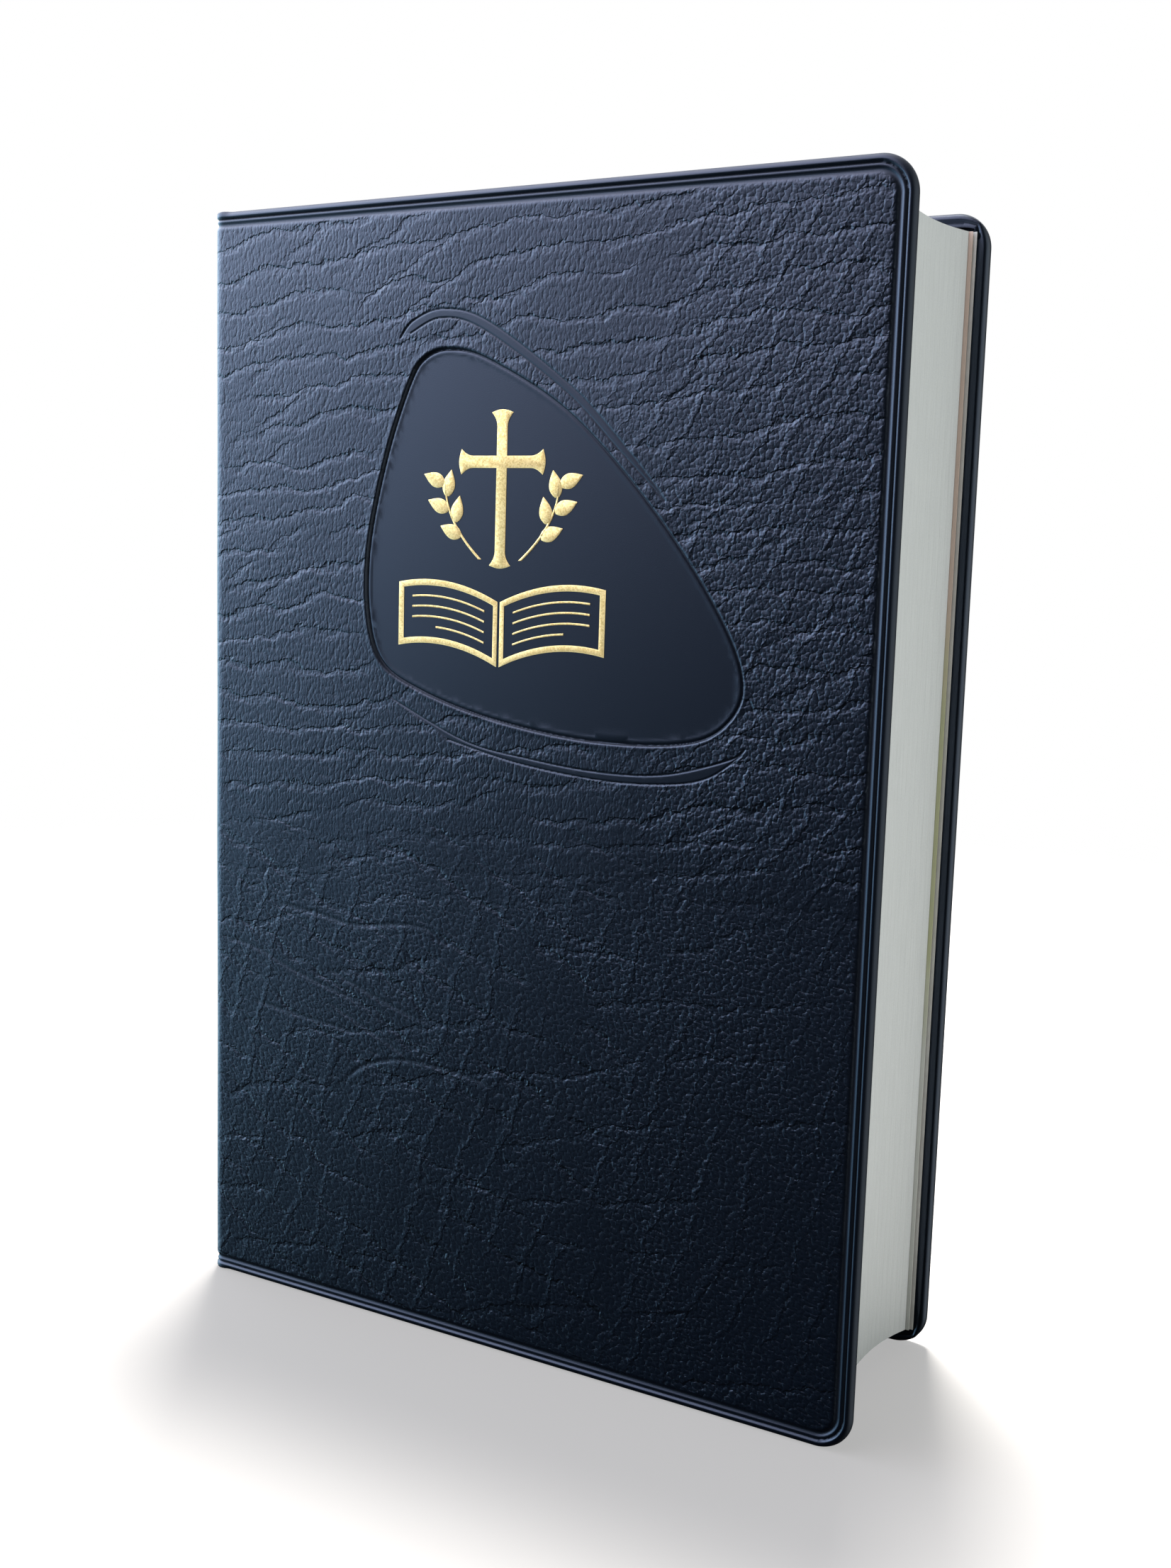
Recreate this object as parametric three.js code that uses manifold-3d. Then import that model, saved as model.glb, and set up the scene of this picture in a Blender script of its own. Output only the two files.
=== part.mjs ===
// A hand-size bible in a flexible welded vinyl cover, standing on its tail edge.
// Millimetres. +Z runs from tail to head, +X from spine to fore-edge, and the front
// cover faces -Y. The origin is under the middle of the closed book, at its tail.
//
// The covers turn about upright axes at the spine's two corners. Each sewn section of
// pages turns about an upright axis of its own just inside the glued back of the block,
// and is thinned towards that axis so that its neighbours clear it when the pages fan.

import * as THREE from 'three';
import { mergeVertices } from 'three/addons/utils/BufferGeometryUtils.js';
import Module from 'manifold-3d';

const wasm = await Module();
wasm.setup();

// ---- Driving dimensions ----

const coverHeight = 210;
const coverWidth = 138;
const bookThickness = 44;
const spineBulge = 5;
const coverThickness = 2.5;
const cornerRadius = 6.5;

const foldX = -(coverWidth + spineBulge) / 2 + spineBulge;
const foreX = (coverWidth + spineBulge) / 2;
const halfThickness = bookThickness / 2;
const hingeGap = 0.3;
const glueGap = 0.05;

// Cover: an outer vinyl skin with a thick welded rim, a card board laid in it, and a
// vinyl liner welded over the board inside the rim.
const skinThickness = 1.0;
const linerThickness = 0.5;
const rimWidth = 2.6;
const hingeRimWidth = 1.5;
const beadGrooveInset = 1.3;
const beadGrooveWidth = 0.7;
const beadGrooveDepth = 0.4;

// Smooth panel pressed into the front cover, with a curved band above and below it.
const panelDepth = 0.4;
const bandDepth = 0.3;
const foilThickness = 0.15;

// Text block
const headSquare = 3.6;
const foreSquare = 3.6;
const sectionCount = 24;
const endpaperThickness = 0.25;
const endpaperGap = 0.1;
const leafPivotX = -60;
const fanTaper = 11.3;
const fanRootHalfThickness = 0.1;
const sectionClearance = 0.04;
const flyleafStart = 2.0;
const mapLeafReach = 0.7;
const backPasteDownReach = 1.3;
const hollowDepth = 3.6;
const frontLedge = 2.4;
const frontHollowPower = 5;
const rearHollowPower = 2.4;

// Spine layers, from the outside in
const spineSkinThickness = 1.0;
const spineInlayThickness = 0.6;
const gauzeThickness = 0.25;
const threadThickness = 0.2;
const threadWidth = 2.5;
const threadStations = [0.12, 0.36, 0.64, 0.88];
const headbandHeight = 1.75;
const headbandDepth = 1.4;

// ---- Derived places ----

const blockTail = headSquare;
const blockHead = coverHeight - headSquare;
const blockFore = foreX - foreSquare;
const innerFace = halfThickness - coverThickness;
const spineRadius = (halfThickness ** 2 + spineBulge ** 2) / (2 * spineBulge);
const spineCentreX = -(coverWidth + spineBulge) / 2 + spineRadius;
const blockHalf = innerFace - 2 * endpaperGap - endpaperThickness - endpaperGap;
const stackHalf = blockHalf - endpaperThickness - endpaperGap;
const sectionPitch = 2 * stackHalf / sectionCount;

// ---- Materials ----

function finish(colour, roughness, metalness = 0) {
  return new THREE.MeshStandardMaterial({ color: colour, roughness, metalness });
}

const grainedVinyl = finish(0x1c2233, 0.55);
const linerVinyl = finish(0x0c0d12, 0.6);
const greyBoard = finish(0x8d8a82, 0.95);
const biblePaper = finish(0xd8dad6, 0.9);
const endpaper = finish(0xdfe0dc, 0.9);
const mapPaper = finish(0xcdbf9a, 0.85);
const goldFoil = finish(0xe3cf7a, 0.35, 1);
const muslin = finish(0xc9c3b2, 0.95);
const linenThread = finish(0xe6e1d3, 0.9);
const headbandCloth = finish(0xd9d4c6, 0.9);

const book = new THREE.Group();

function addNode(name, geometry, material) {
  const mesh = new THREE.Mesh(geometry, material);
  mesh.name = name;
  book.add(mesh);
}

// ---- Solid helpers ----

function toManifold(geometry) {
  const bare = geometry.clone();
  bare.deleteAttribute('normal');
  bare.deleteAttribute('uv');
  const merged = mergeVertices(bare, 1e-5);
  const vertProperties = new Float32Array(merged.attributes.position.array);
  const triVerts = new Uint32Array(merged.index.array);
  return new wasm.Manifold(new wasm.Mesh({ numProp: 3, vertProperties, triVerts }));
}

function toGeometry(manifold) {
  const mesh = manifold.getMesh();
  const geometry = new THREE.BufferGeometry();
  geometry.setAttribute('position', new THREE.BufferAttribute(mesh.vertProperties, 3));
  geometry.setIndex(new THREE.BufferAttribute(mesh.triVerts, 1));
  geometry.computeVertexNormals();
  return geometry;
}

// A plan outline (x, y), raised from one height to another.
function raisePlan(points, fromZ, toZ) {
  const shape = new THREE.Shape(points.map(([x, y]) => new THREE.Vector2(x, y)));
  const geometry = new THREE.ExtrudeGeometry(shape, { depth: toZ - fromZ, bevelEnabled: false });
  geometry.translate(0, 0, fromZ);
  return geometry;
}

// A front outline (x, z), thickened from one depth to another along Y.
function thickenFront(shape, fromY, toY, curveSegments = 8) {
  const options = { depth: toY - fromY, bevelEnabled: false, curveSegments };
  const geometry = new THREE.ExtrudeGeometry(shape, options);
  geometry.rotateX(Math.PI / 2);
  geometry.translate(0, toY, 0);
  return geometry;
}

// A cover outline drawn in from the edges: square at the spine, rounded at the fore-edge.
function coverOutline(inset, hingeInset) {
  const left = foldX + hingeGap + hingeInset;
  const right = foreX - inset;
  const bottom = inset;
  const top = coverHeight - inset;
  const radius = Math.max(cornerRadius - inset, 0.5);
  const shape = new THREE.Shape();
  shape.moveTo(left, bottom);
  shape.lineTo(right - radius, bottom);
  shape.absarc(right - radius, bottom + radius, radius, -Math.PI / 2, 0, false);
  shape.lineTo(right, top - radius);
  shape.absarc(right - radius, top - radius, radius, 0, Math.PI / 2, false);
  shape.lineTo(left, top);
  shape.closePath();
  return shape;
}

// ---- Panel and bands, drawn from the middle of the cover's width and from its tail ----

const coverMiddleX = (foldX + foreX) / 2;

const panelKnots = [
  [-15.0, 183.2], [-6.5, 181.0], [9.8, 171.7], [26.0, 156.0], [38.8, 139.2], [43.8, 127.9],
  [41.0, 120.6], [32.7, 116.7], [14.4, 115.9], [-5.1, 118.2], [-20.5, 122.3], [-29.4, 127.2],
  [-32.6, 136.5], [-32.4, 149.0], [-28.8, 164.5], [-24.0, 177.2], [-20.6, 181.8],
];

const upperBandOuter = [[-26.0, 185.0], [-19.5, 189.6], [-9.0, 188.4], [9.7, 176.2], [28.5, 157.3]];
const upperBandInner = [[27.6, 157.6], [8.6, 175.3], [-8.1, 186.1], [-17.5, 188.3], [-23.5, 186.2]];
const lowerBandUpper = [[-27.7, 121.1], [-10.8, 114.1], [14.6, 110.9], [34.0, 112.0], [44.6, 116.9]];
const lowerBandLower = [[43.6, 115.4], [33.0, 110.2], [14.6, 109.5], [-4.9, 111.9], [-22.0, 117.2]];

function splinePoints(knots, closed, count) {
  const curve = new THREE.CatmullRomCurve3(
    knots.map(([x, z]) => new THREE.Vector3(x + coverMiddleX, z, 0)),
    closed,
  );
  const points = curve.getSpacedPoints(count);
  return points.slice(0, closed ? -1 : undefined).map((p) => new THREE.Vector2(p.x, p.y));
}

function panelOutline() {
  return new THREE.Shape(splinePoints(panelKnots, true, 60).reverse());
}

function bandOutline(outer, inner) {
  const loop = [...splinePoints(outer, false, 16), ...splinePoints(inner, false, 16)];
  return new THREE.Shape(loop.reverse());
}

// ---- Covers ----
// Each is made as the front cover and turned over for the back one.

function coverSkin(isFront) {
  const outer = -halfThickness;
  const inner = -innerFace;
  const past = 1;
  let skin = toManifold(thickenFront(coverOutline(0, 0), outer, inner));
  const tray = thickenFront(coverOutline(rimWidth, hingeRimWidth), outer + skinThickness, inner + past);
  skin = skin.subtract(toManifold(tray));
  const grooveEdge = beadGrooveInset + beadGrooveWidth;
  const grooveFloor = outer + beadGrooveDepth;
  const outerEdge = coverOutline(beadGrooveInset, -past);
  const innerEdge = coverOutline(grooveEdge, -2 * past);
  const grooveOuter = toManifold(thickenFront(outerEdge, outer - past, grooveFloor));
  const grooveInner = toManifold(thickenFront(innerEdge, outer - 2 * past, grooveFloor + past));
  skin = skin.subtract(grooveOuter.subtract(grooveInner));
  if (isFront) {
    skin = skin.subtract(toManifold(thickenFront(panelOutline(), outer - past, outer + panelDepth)));
    const bands = [[upperBandOuter, upperBandInner], [lowerBandUpper, lowerBandLower]];
    for (const [outerLine, innerLine] of bands) {
      const band = thickenFront(bandOutline(outerLine, innerLine), outer - past, outer + bandDepth);
      skin = skin.subtract(toManifold(band));
    }
  }
  return toGeometry(skin);
}

function coverBoard() {
  const outline = coverOutline(rimWidth + hingeGap, hingeRimWidth + hingeGap);
  const outer = -halfThickness + skinThickness + glueGap;
  return thickenFront(outline, outer, -innerFace - linerThickness - glueGap);
}

function coverLiner() {
  const outline = coverOutline(rimWidth + glueGap, hingeRimWidth + glueGap);
  return thickenFront(outline, -innerFace - linerThickness, -innerFace);
}

function sheetOutline(fromX, toX) {
  const shape = new THREE.Shape();
  shape.moveTo(fromX, blockTail);
  shape.lineTo(toX, blockTail);
  shape.lineTo(toX, blockHead);
  shape.lineTo(fromX, blockHead);
  shape.closePath();
  return shape;
}

function pasteDown(reach) {
  const outline = sheetOutline(foldX + hingeRimWidth + 2 * hingeGap, blockFore + reach);
  const outer = -innerFace + glueGap;
  return thickenFront(outline, outer, outer + endpaperThickness - glueGap);
}

// Turns a piece of the front cover over, end to end about the upright middle plane.
function turnedOver(geometry) {
  const source = geometry.index ? geometry.toNonIndexed() : geometry;
  const positions = source.attributes.position.array;
  const flipped = new Float32Array(positions.length);
  const corner = 3;
  for (let start = 0; start < positions.length; start += 3 * corner) {
    for (let k = 0; k < 3; k += 1) {
      const from = start + k * corner;
      const to = start + (2 - k) * corner;
      flipped[to] = positions[from];
      flipped[to + 1] = -positions[from + 1];
      flipped[to + 2] = positions[from + 2];
    }
  }
  const result = new THREE.BufferGeometry();
  result.setAttribute('position', new THREE.BufferAttribute(flipped, 3));
  result.computeVertexNormals();
  return result;
}

addNode('front_cover_skin', coverSkin(true), grainedVinyl);
addNode('front_cover_board', coverBoard(), greyBoard);
addNode('front_cover_liner', coverLiner(), linerVinyl);
addNode('front_paste_down', pasteDown(0), endpaper);
addNode('back_cover_skin', turnedOver(coverSkin(false)), grainedVinyl);
addNode('back_cover_board', turnedOver(coverBoard()), greyBoard);
addNode('back_cover_liner', turnedOver(coverLiner()), linerVinyl);
addNode('back_paste_down', turnedOver(pasteDown(backPasteDownReach)), endpaper);

// ---- Gold-foil emblem on the panel: a cross over an open book between two sprigs ----

const emblemMiddleX = coverMiddleX - 4;
const crossFoot = 145.5;
const crossHead = 172;
const crossArmZ = 163.5;
const crossArmHalf = 8.4;
const crossBarHalf = 1.1;
const crossFlare = 1.0;
const openBookHalf = 21.5;
const openBookTail = 127.5;
const openBookRise = 11.5;
const openBookDip = 3;
const openBookLine = 1.5;
const pageCrest = 0.45;
const crossFlareLength = 2.2;
const sprigRootX = 4.2;
const sprigRootZ = 146.5;
const sprigHeight = 13;
const sprigLean = 7.5;
const sprigStemHalf = 0.35;
const sprigFirstLeaf = 0.3;
const sprigLeafCount = 5;
const sprigLeafLength = 5.2;
const sprigLeafHalf = 1.25;
const sprigInnerTurn = 0.45;
const sprigOuterTurn = 0.95;
const sprigTurnOffset = 0.25;
const foilGap = 0.01;
const foilCurveSegments = 6;

function foilPiece(shape) {
  const floor = -halfThickness + panelDepth;
  return thickenFront(shape, floor - foilThickness, floor - foilGap, foilCurveSegments);
}

function crossShape() {
  const half = crossBarHalf;
  const wide = crossBarHalf + crossFlare;
  const step = crossFlareLength;
  const corners = [
    [-wide, crossFoot], [wide, crossFoot], [half, crossFoot + step], [half, crossArmZ - half],
    [crossArmHalf - step, crossArmZ - half], [crossArmHalf, crossArmZ - wide],
    [crossArmHalf, crossArmZ + wide], [crossArmHalf - step, crossArmZ + half],
    [half, crossArmZ + half], [half, crossHead - step], [wide, crossHead], [-wide, crossHead],
    [-half, crossHead - step], [-half, crossArmZ + half], [step - crossArmHalf, crossArmZ + half],
    [-crossArmHalf, crossArmZ + wide], [-crossArmHalf, crossArmZ - wide],
    [step - crossArmHalf, crossArmZ - half], [-half, crossArmZ - half], [-half, crossFoot + step],
  ];
  return new THREE.Shape(corners.map(([x, z]) => new THREE.Vector2(x + emblemMiddleX, z)));
}

// Open book seen from the front: two curved page tops over two curved page feet.
function openBookShape() {
  const centre = emblemMiddleX;
  const shape = new THREE.Shape();
  const half = openBookHalf;
  const low = openBookTail;
  const high = low + openBookRise;
  const crest = half * pageCrest;
  const bow = 2 * openBookDip;
  shape.moveTo(centre, low);
  shape.quadraticCurveTo(centre + crest, low + bow, centre + half, low + openBookDip);
  shape.lineTo(centre + half, high + openBookDip);
  shape.quadraticCurveTo(centre + crest, high + bow, centre, high);
  shape.quadraticCurveTo(centre - crest, high + bow, centre - half, high + openBookDip);
  shape.lineTo(centre - half, low + openBookDip);
  shape.quadraticCurveTo(centre - crest, low + bow, centre, low);
  for (const side of [-1, 1]) {
    const inner = centre + side * openBookLine / 2;
    const outer = centre + side * (half - openBookLine);
    const middle = centre + side * crest;
    const rise = openBookLine;
    const page = new THREE.Path();
    page.moveTo(inner, low + rise);
    page.quadraticCurveTo(middle, low + rise + bow, outer, low + rise + openBookDip);
    page.lineTo(outer, high + openBookDip - rise);
    page.quadraticCurveTo(middle, high + bow - rise, inner, high - rise);
    page.closePath();
    shape.holes.push(page);
  }
  return shape;
}

function sprigLeaf(stemX, stemZ, turn) {
  const tipX = sprigLeafLength * Math.cos(turn);
  const tipZ = sprigLeafLength * Math.sin(turn);
  const acrossX = -2 * sprigLeafHalf * Math.sin(turn);
  const acrossZ = 2 * sprigLeafHalf * Math.cos(turn);
  const middleX = stemX + tipX / 2;
  const middleZ = stemZ + tipZ / 2;
  const leaf = new THREE.Shape();
  leaf.moveTo(stemX, stemZ);
  leaf.quadraticCurveTo(middleX + acrossX, middleZ + acrossZ, stemX + tipX, stemZ + tipZ);
  leaf.quadraticCurveTo(middleX - acrossX, middleZ - acrossZ, stemX, stemZ);
  return leaf;
}

function sprigStem(rootX, lean) {
  const half = sprigStemHalf;
  const topX = rootX + lean;
  const topZ = sprigRootZ + sprigHeight;
  const bendZ = sprigRootZ + sprigHeight / 2;
  const stem = new THREE.Shape();
  stem.moveTo(rootX - half, sprigRootZ);
  stem.lineTo(rootX + half, sprigRootZ);
  stem.quadraticCurveTo(topX + half, bendZ, topX + half, topZ);
  stem.lineTo(topX - half, topZ);
  stem.quadraticCurveTo(topX - half, bendZ, rootX - half, sprigRootZ);
  return stem;
}

function sprig(side) {
  const rootX = emblemMiddleX + side * sprigRootX;
  const lean = side * sprigLean;
  let joined = toManifold(foilPiece(sprigStem(rootX, lean)));
  for (let i = 0; i < sprigLeafCount; i += 1) {
    const t = sprigFirstLeaf + (1 - sprigFirstLeaf) * i / (sprigLeafCount - 1);
    const stemX = rootX + lean * (2 * t - t * t);
    const stemZ = sprigRootZ + sprigHeight * t;
    const splay = i % 2 ? -sprigInnerTurn : sprigOuterTurn;
    const turn = Math.PI / 2 - side * (splay + sprigTurnOffset);
    joined = joined.add(toManifold(foilPiece(sprigLeaf(stemX, stemZ, turn))));
  }
  return toGeometry(joined);
}

addNode('foil_cross', foilPiece(crossShape()), goldFoil);
addNode('foil_open_book', foilPiece(openBookShape()), goldFoil);
addNode('foil_sprig_left', sprig(-1), goldFoil);
addNode('foil_sprig_right', sprig(1), goldFoil);

// ---- Spine ----

function spineArc(radius, halfAngle, steps) {
  const points = [];
  for (let i = 0; i <= steps; i += 1) {
    const angle = -halfAngle + 2 * halfAngle * i / steps;
    points.push([spineCentreX - radius * Math.cos(angle), radius * Math.sin(angle)]);
  }
  return points;
}

// A curved strip between two radii that reaches to a given half width.
function spineStrip(outerRadius, thickness, halfWidth, fromZ, toZ) {
  const steps = 20;
  const outer = spineArc(outerRadius, Math.asin(halfWidth / outerRadius), steps);
  const innerRadius = outerRadius - thickness;
  const inner = spineArc(innerRadius, Math.asin(halfWidth / innerRadius), steps);
  return raisePlan([...outer, ...inner.reverse()], fromZ, toZ);
}

// The outer skin fills the corner up to the plane where the covers begin.
function spineSkin() {
  const steps = 24;
  const outer = spineArc(spineRadius, Math.asin(halfThickness / spineRadius), steps);
  const innerRadius = spineRadius - spineSkinThickness;
  const inner = spineArc(innerRadius, Math.acos((spineCentreX - foldX) / innerRadius), steps);
  return raisePlan([...outer, ...inner.reverse()], 0, coverHeight);
}

const inlayRadius = spineRadius - spineSkinThickness - glueGap;
const gauzeRadius = inlayRadius - spineInlayThickness - glueGap;
const threadRadius = gauzeRadius - gauzeThickness - glueGap;
const foldRadius = threadRadius - threadThickness - glueGap;
const spineLayerHalf = stackHalf - 1;

addNode('spine_skin', spineSkin(), grainedVinyl);
addNode('spine_inlay', spineStrip(inlayRadius, spineInlayThickness, spineLayerHalf - 1,
  rimWidth, coverHeight - rimWidth), greyBoard);
const gauzeInset = 12;
addNode('spine_gauze', spineStrip(gauzeRadius, gauzeThickness, spineLayerHalf,
  blockTail + gauzeInset, blockHead - gauzeInset), muslin);
threadStations.forEach((share, index) => {
  const middle = blockTail + share * (blockHead - blockTail);
  const strip = spineStrip(threadRadius, threadThickness, spineLayerHalf,
    middle - threadWidth / 2, middle + threadWidth / 2);
  addNode(`sewing_thread_${index + 1}`, strip, linenThread);
});

function gluedFolds() {
  const arc = spineArc(foldRadius, Math.asin(stackHalf / foldRadius), 24);
  const face = leafPivotX - hingeGap;
  return raisePlan([...arc, [face, stackHalf], [face, -stackHalf]], blockTail, blockHead);
}

addNode('glued_folds', gluedFolds(), biblePaper);
for (const [name, fromZ] of [['headband_head', blockHead + glueGap],
  ['headband_tail', blockTail - glueGap - headbandHeight]]) {
  const band = spineStrip(foldRadius, headbandDepth, spineLayerHalf, fromZ, fromZ + headbandHeight);
  addNode(name, band, headbandCloth);
}

// ---- Pages ----

// Fore-edge of the block at a given depth: a flat ledge at the front, then a hollow.
function foreEdge(y) {
  const reach = y < 0 ? stackHalf - frontLedge : stackHalf;
  const share = Math.min(Math.abs(y) / reach, 1);
  const power = y < 0 ? frontHollowPower : rearHollowPower;
  return blockFore - hollowDepth * (1 - share ** power);
}

function sectionPlan(index) {
  const middle = -stackHalf + (index + 0.5) * sectionPitch;
  const half = (sectionPitch - sectionClearance) / 2;
  const rootX = leafPivotX + hingeGap;
  const fullX = leafPivotX + fanTaper;
  return [
    [rootX, middle - fanRootHalfThickness],
    [fullX, middle - half],
    [foreEdge(middle - half), middle - half],
    [foreEdge(middle), middle],
    [foreEdge(middle + half), middle + half],
    [fullX, middle + half],
    [rootX, middle + fanRootHalfThickness],
  ];
}

for (let i = 0; i < sectionCount; i += 1) {
  const name = `section_${String(i + 1).padStart(2, '0')}`;
  addNode(name, raisePlan(sectionPlan(i), blockTail, blockHead), biblePaper);
}

function endLeaf(reach) {
  const outline = sheetOutline(leafPivotX + flyleafStart, blockFore + reach);
  const outer = -blockHalf;
  return thickenFront(outline, outer, outer + endpaperThickness);
}

addNode('front_flyleaf', endLeaf(0), endpaper);
addNode('back_map_leaf', turnedOver(endLeaf(mapLeafReach)), mapPaper);

export default book;
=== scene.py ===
import math

import bpy
import numpy as np
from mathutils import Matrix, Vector


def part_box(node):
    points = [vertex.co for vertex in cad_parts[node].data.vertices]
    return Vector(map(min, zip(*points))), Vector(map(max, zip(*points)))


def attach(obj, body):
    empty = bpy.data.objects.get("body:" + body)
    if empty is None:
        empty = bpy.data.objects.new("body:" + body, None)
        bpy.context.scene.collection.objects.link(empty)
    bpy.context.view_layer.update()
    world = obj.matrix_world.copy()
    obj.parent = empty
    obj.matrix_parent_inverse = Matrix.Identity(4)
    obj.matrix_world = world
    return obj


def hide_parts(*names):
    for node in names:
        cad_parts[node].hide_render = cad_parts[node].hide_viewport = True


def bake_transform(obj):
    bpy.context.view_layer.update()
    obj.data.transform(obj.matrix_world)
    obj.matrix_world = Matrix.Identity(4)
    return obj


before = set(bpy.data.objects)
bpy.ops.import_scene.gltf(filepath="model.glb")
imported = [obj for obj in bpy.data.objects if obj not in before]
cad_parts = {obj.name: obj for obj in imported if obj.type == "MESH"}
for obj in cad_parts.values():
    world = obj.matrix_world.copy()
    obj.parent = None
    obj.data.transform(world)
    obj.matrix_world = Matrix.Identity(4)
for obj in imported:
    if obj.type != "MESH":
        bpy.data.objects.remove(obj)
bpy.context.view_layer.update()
print("frame loaded:", len(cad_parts), "CAD nodes")

# Shapes are worked out in millimetres and written to the meshes in metres.
mm = 0.001


def boxMm(node):
    low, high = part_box(node)
    return low / mm, high / mm


coverLow, coverHigh = boxMm("front_cover_skin")
spineLow, spineHigh = boxMm("spine_skin")
blockLow, blockHigh = boxMm("section_01")

case = {
    "foreX": coverHigh.x,
    "headZ": coverHigh.z,
    "halfDepth": -coverLow.y,
    "spineX": spineLow.x,
    "foldX": spineHigh.x,
    "coverThickness": coverHigh.y - coverLow.y,
    "vinylThickness": 0.95,
    "cornerRadius": 6.5,
    "hingeRadius": 2.0,
    "hingeThickness": 1.24,
    "thickensFrom": (-65.0, -63.3),    # across the cover, from the hinge's thickness to the full one
    "seamAngle": math.radians(21),
}
case["bulge"] = case["foldX"] - case["spineX"]
case["middleX"] = (case["foldX"] + case["foreX"]) / 2
case["spineRadius"] = (case["halfDepth"] ** 2 + case["bulge"] ** 2) / (2 * case["bulge"])
case["spineCentre"] = case["spineX"] + case["spineRadius"]


def newGroup(name, inputs, outputs):
    group = bpy.data.node_groups.new(name, "ShaderNodeTree")
    for label, kind, value in inputs:
        socket = group.interface.new_socket(label, in_out="INPUT", socket_type=kind)
        if value is not None:
            socket.default_value = value
    for label, kind in outputs:
        group.interface.new_socket(label, in_out="OUTPUT", socket_type=kind)
    source = group.nodes.new("NodeGroupInput")
    result = group.nodes.new("NodeGroupOutput")
    return group, source, result


class Graph:
    # Short ways to add and join nodes in one tree.
    def __init__(self, tree):
        self.tree = tree

    def plug(self, socket, value):
        if isinstance(value, bpy.types.NodeSocket):
            self.tree.links.new(value, socket)
        else:
            socket.default_value = value

    def node(self, kind, values=None, **settings):
        node = self.tree.nodes.new(kind)
        for key, value in settings.items():
            setattr(node, key, value)
        for key, value in (values or {}).items():
            self.plug(node.inputs[key], value)
        return node

    def math(self, operation, a, b=0.0, clamp=False):
        node = self.node("ShaderNodeMath", {0: a, 1: b}, operation=operation, use_clamp=clamp)
        return node.outputs[0]

    def ramp(self, value, fromLow, fromHigh, toLow=0.0, toHigh=1.0, smooth=True):
        kind = "SMOOTHSTEP" if smooth else "LINEAR"
        node = self.node("ShaderNodeMapRange", {
            "Value": value, "From Min": fromLow, "From Max": fromHigh,
            "To Min": toLow, "To Max": toHigh}, interpolation_type=kind)
        return node.outputs["Result"]

    def noise(self, vector, scale, detail=2.0, roughness=0.5, output="Fac"):
        node = self.node("ShaderNodeTexNoise", {
            "Vector": vector, "Scale": scale, "Detail": detail, "Roughness": roughness})
        return node.outputs[output]

    def stretch(self, vector, scale):
        return self.node("ShaderNodeMapping", {"Vector": vector, "Scale": scale}).outputs["Vector"]

    def add(self, a, b):
        return self.node("ShaderNodeVectorMath", {0: a, 1: b}, operation="ADD").outputs[0]

    def mix(self, kind, factor, a, b):
        node = self.node("ShaderNodeMix", {"Factor": factor, "A": a, "B": b}, data_type=kind)
        return node.outputs["Result"]

    def mixColour(self, factor, a, b):
        return self.mix("RGBA", factor, a, b)

    def mixValue(self, factor, a, b):
        return self.mix("FLOAT", factor, a, b)

    def product(self, first, *others):
        for value in others:
            first = self.math("MULTIPLY", first, value)
        return first

    def highest(self, first, *others):
        for value in others:
            first = self.math("MAXIMUM", first, value)
        return first

    def nudge(self, vector, pushedBy, amount):
        node = self.node("ShaderNodeVectorMath", {0: pushedBy, 1: (amount, amount, 0), 2: vector},
                         operation="MULTIPLY_ADD")
        return node.outputs[0]

    def attribute(self, name):
        return self.node("ShaderNodeAttribute", attribute_name=name).outputs["Fac"]

    def objectPlace(self):
        return self.node("ShaderNodeTexCoord").outputs["Object"]

    def bump(self, shader, height, distance, strength):
        node = self.node("ShaderNodeBump", {"Height": height, "Distance": distance, "Strength": strength})
        self.plug(shader.inputs["Normal"], node.outputs["Normal"])


def makeCamera():
    view = {
        "place": (0.14674, -0.25141, 0.14557),
        "turn": (82.916, -2.085, 26.398),
        "lens": 35.16,
        "shift": (-0.0561, -0.014),
    }
    bpy.ops.object.camera_add(location=view["place"])
    camera = bpy.context.object
    camera.name = "camera"
    camera.rotation_euler = [math.radians(angle) for angle in view["turn"]]
    camera.data.lens = view["lens"]
    camera.data.sensor_width = 36
    camera.data.shift_x, camera.data.shift_y = view["shift"]
    camera.data.clip_start = 0.01
    camera.data.clip_end = 50
    bpy.context.scene.camera = camera


def addSoftbox(name, place, target, size, power):
    bpy.ops.object.light_add(type="AREA", location=place)
    light = bpy.context.object
    light.name = name
    light.data.shape = "RECTANGLE"
    light.data.size, light.data.size_y = size
    light.data.energy = power
    aim = Vector(target) - Vector(place)
    light.rotation_euler = aim.to_track_quat("-Z", "Y").to_euler()
    return light


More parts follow.
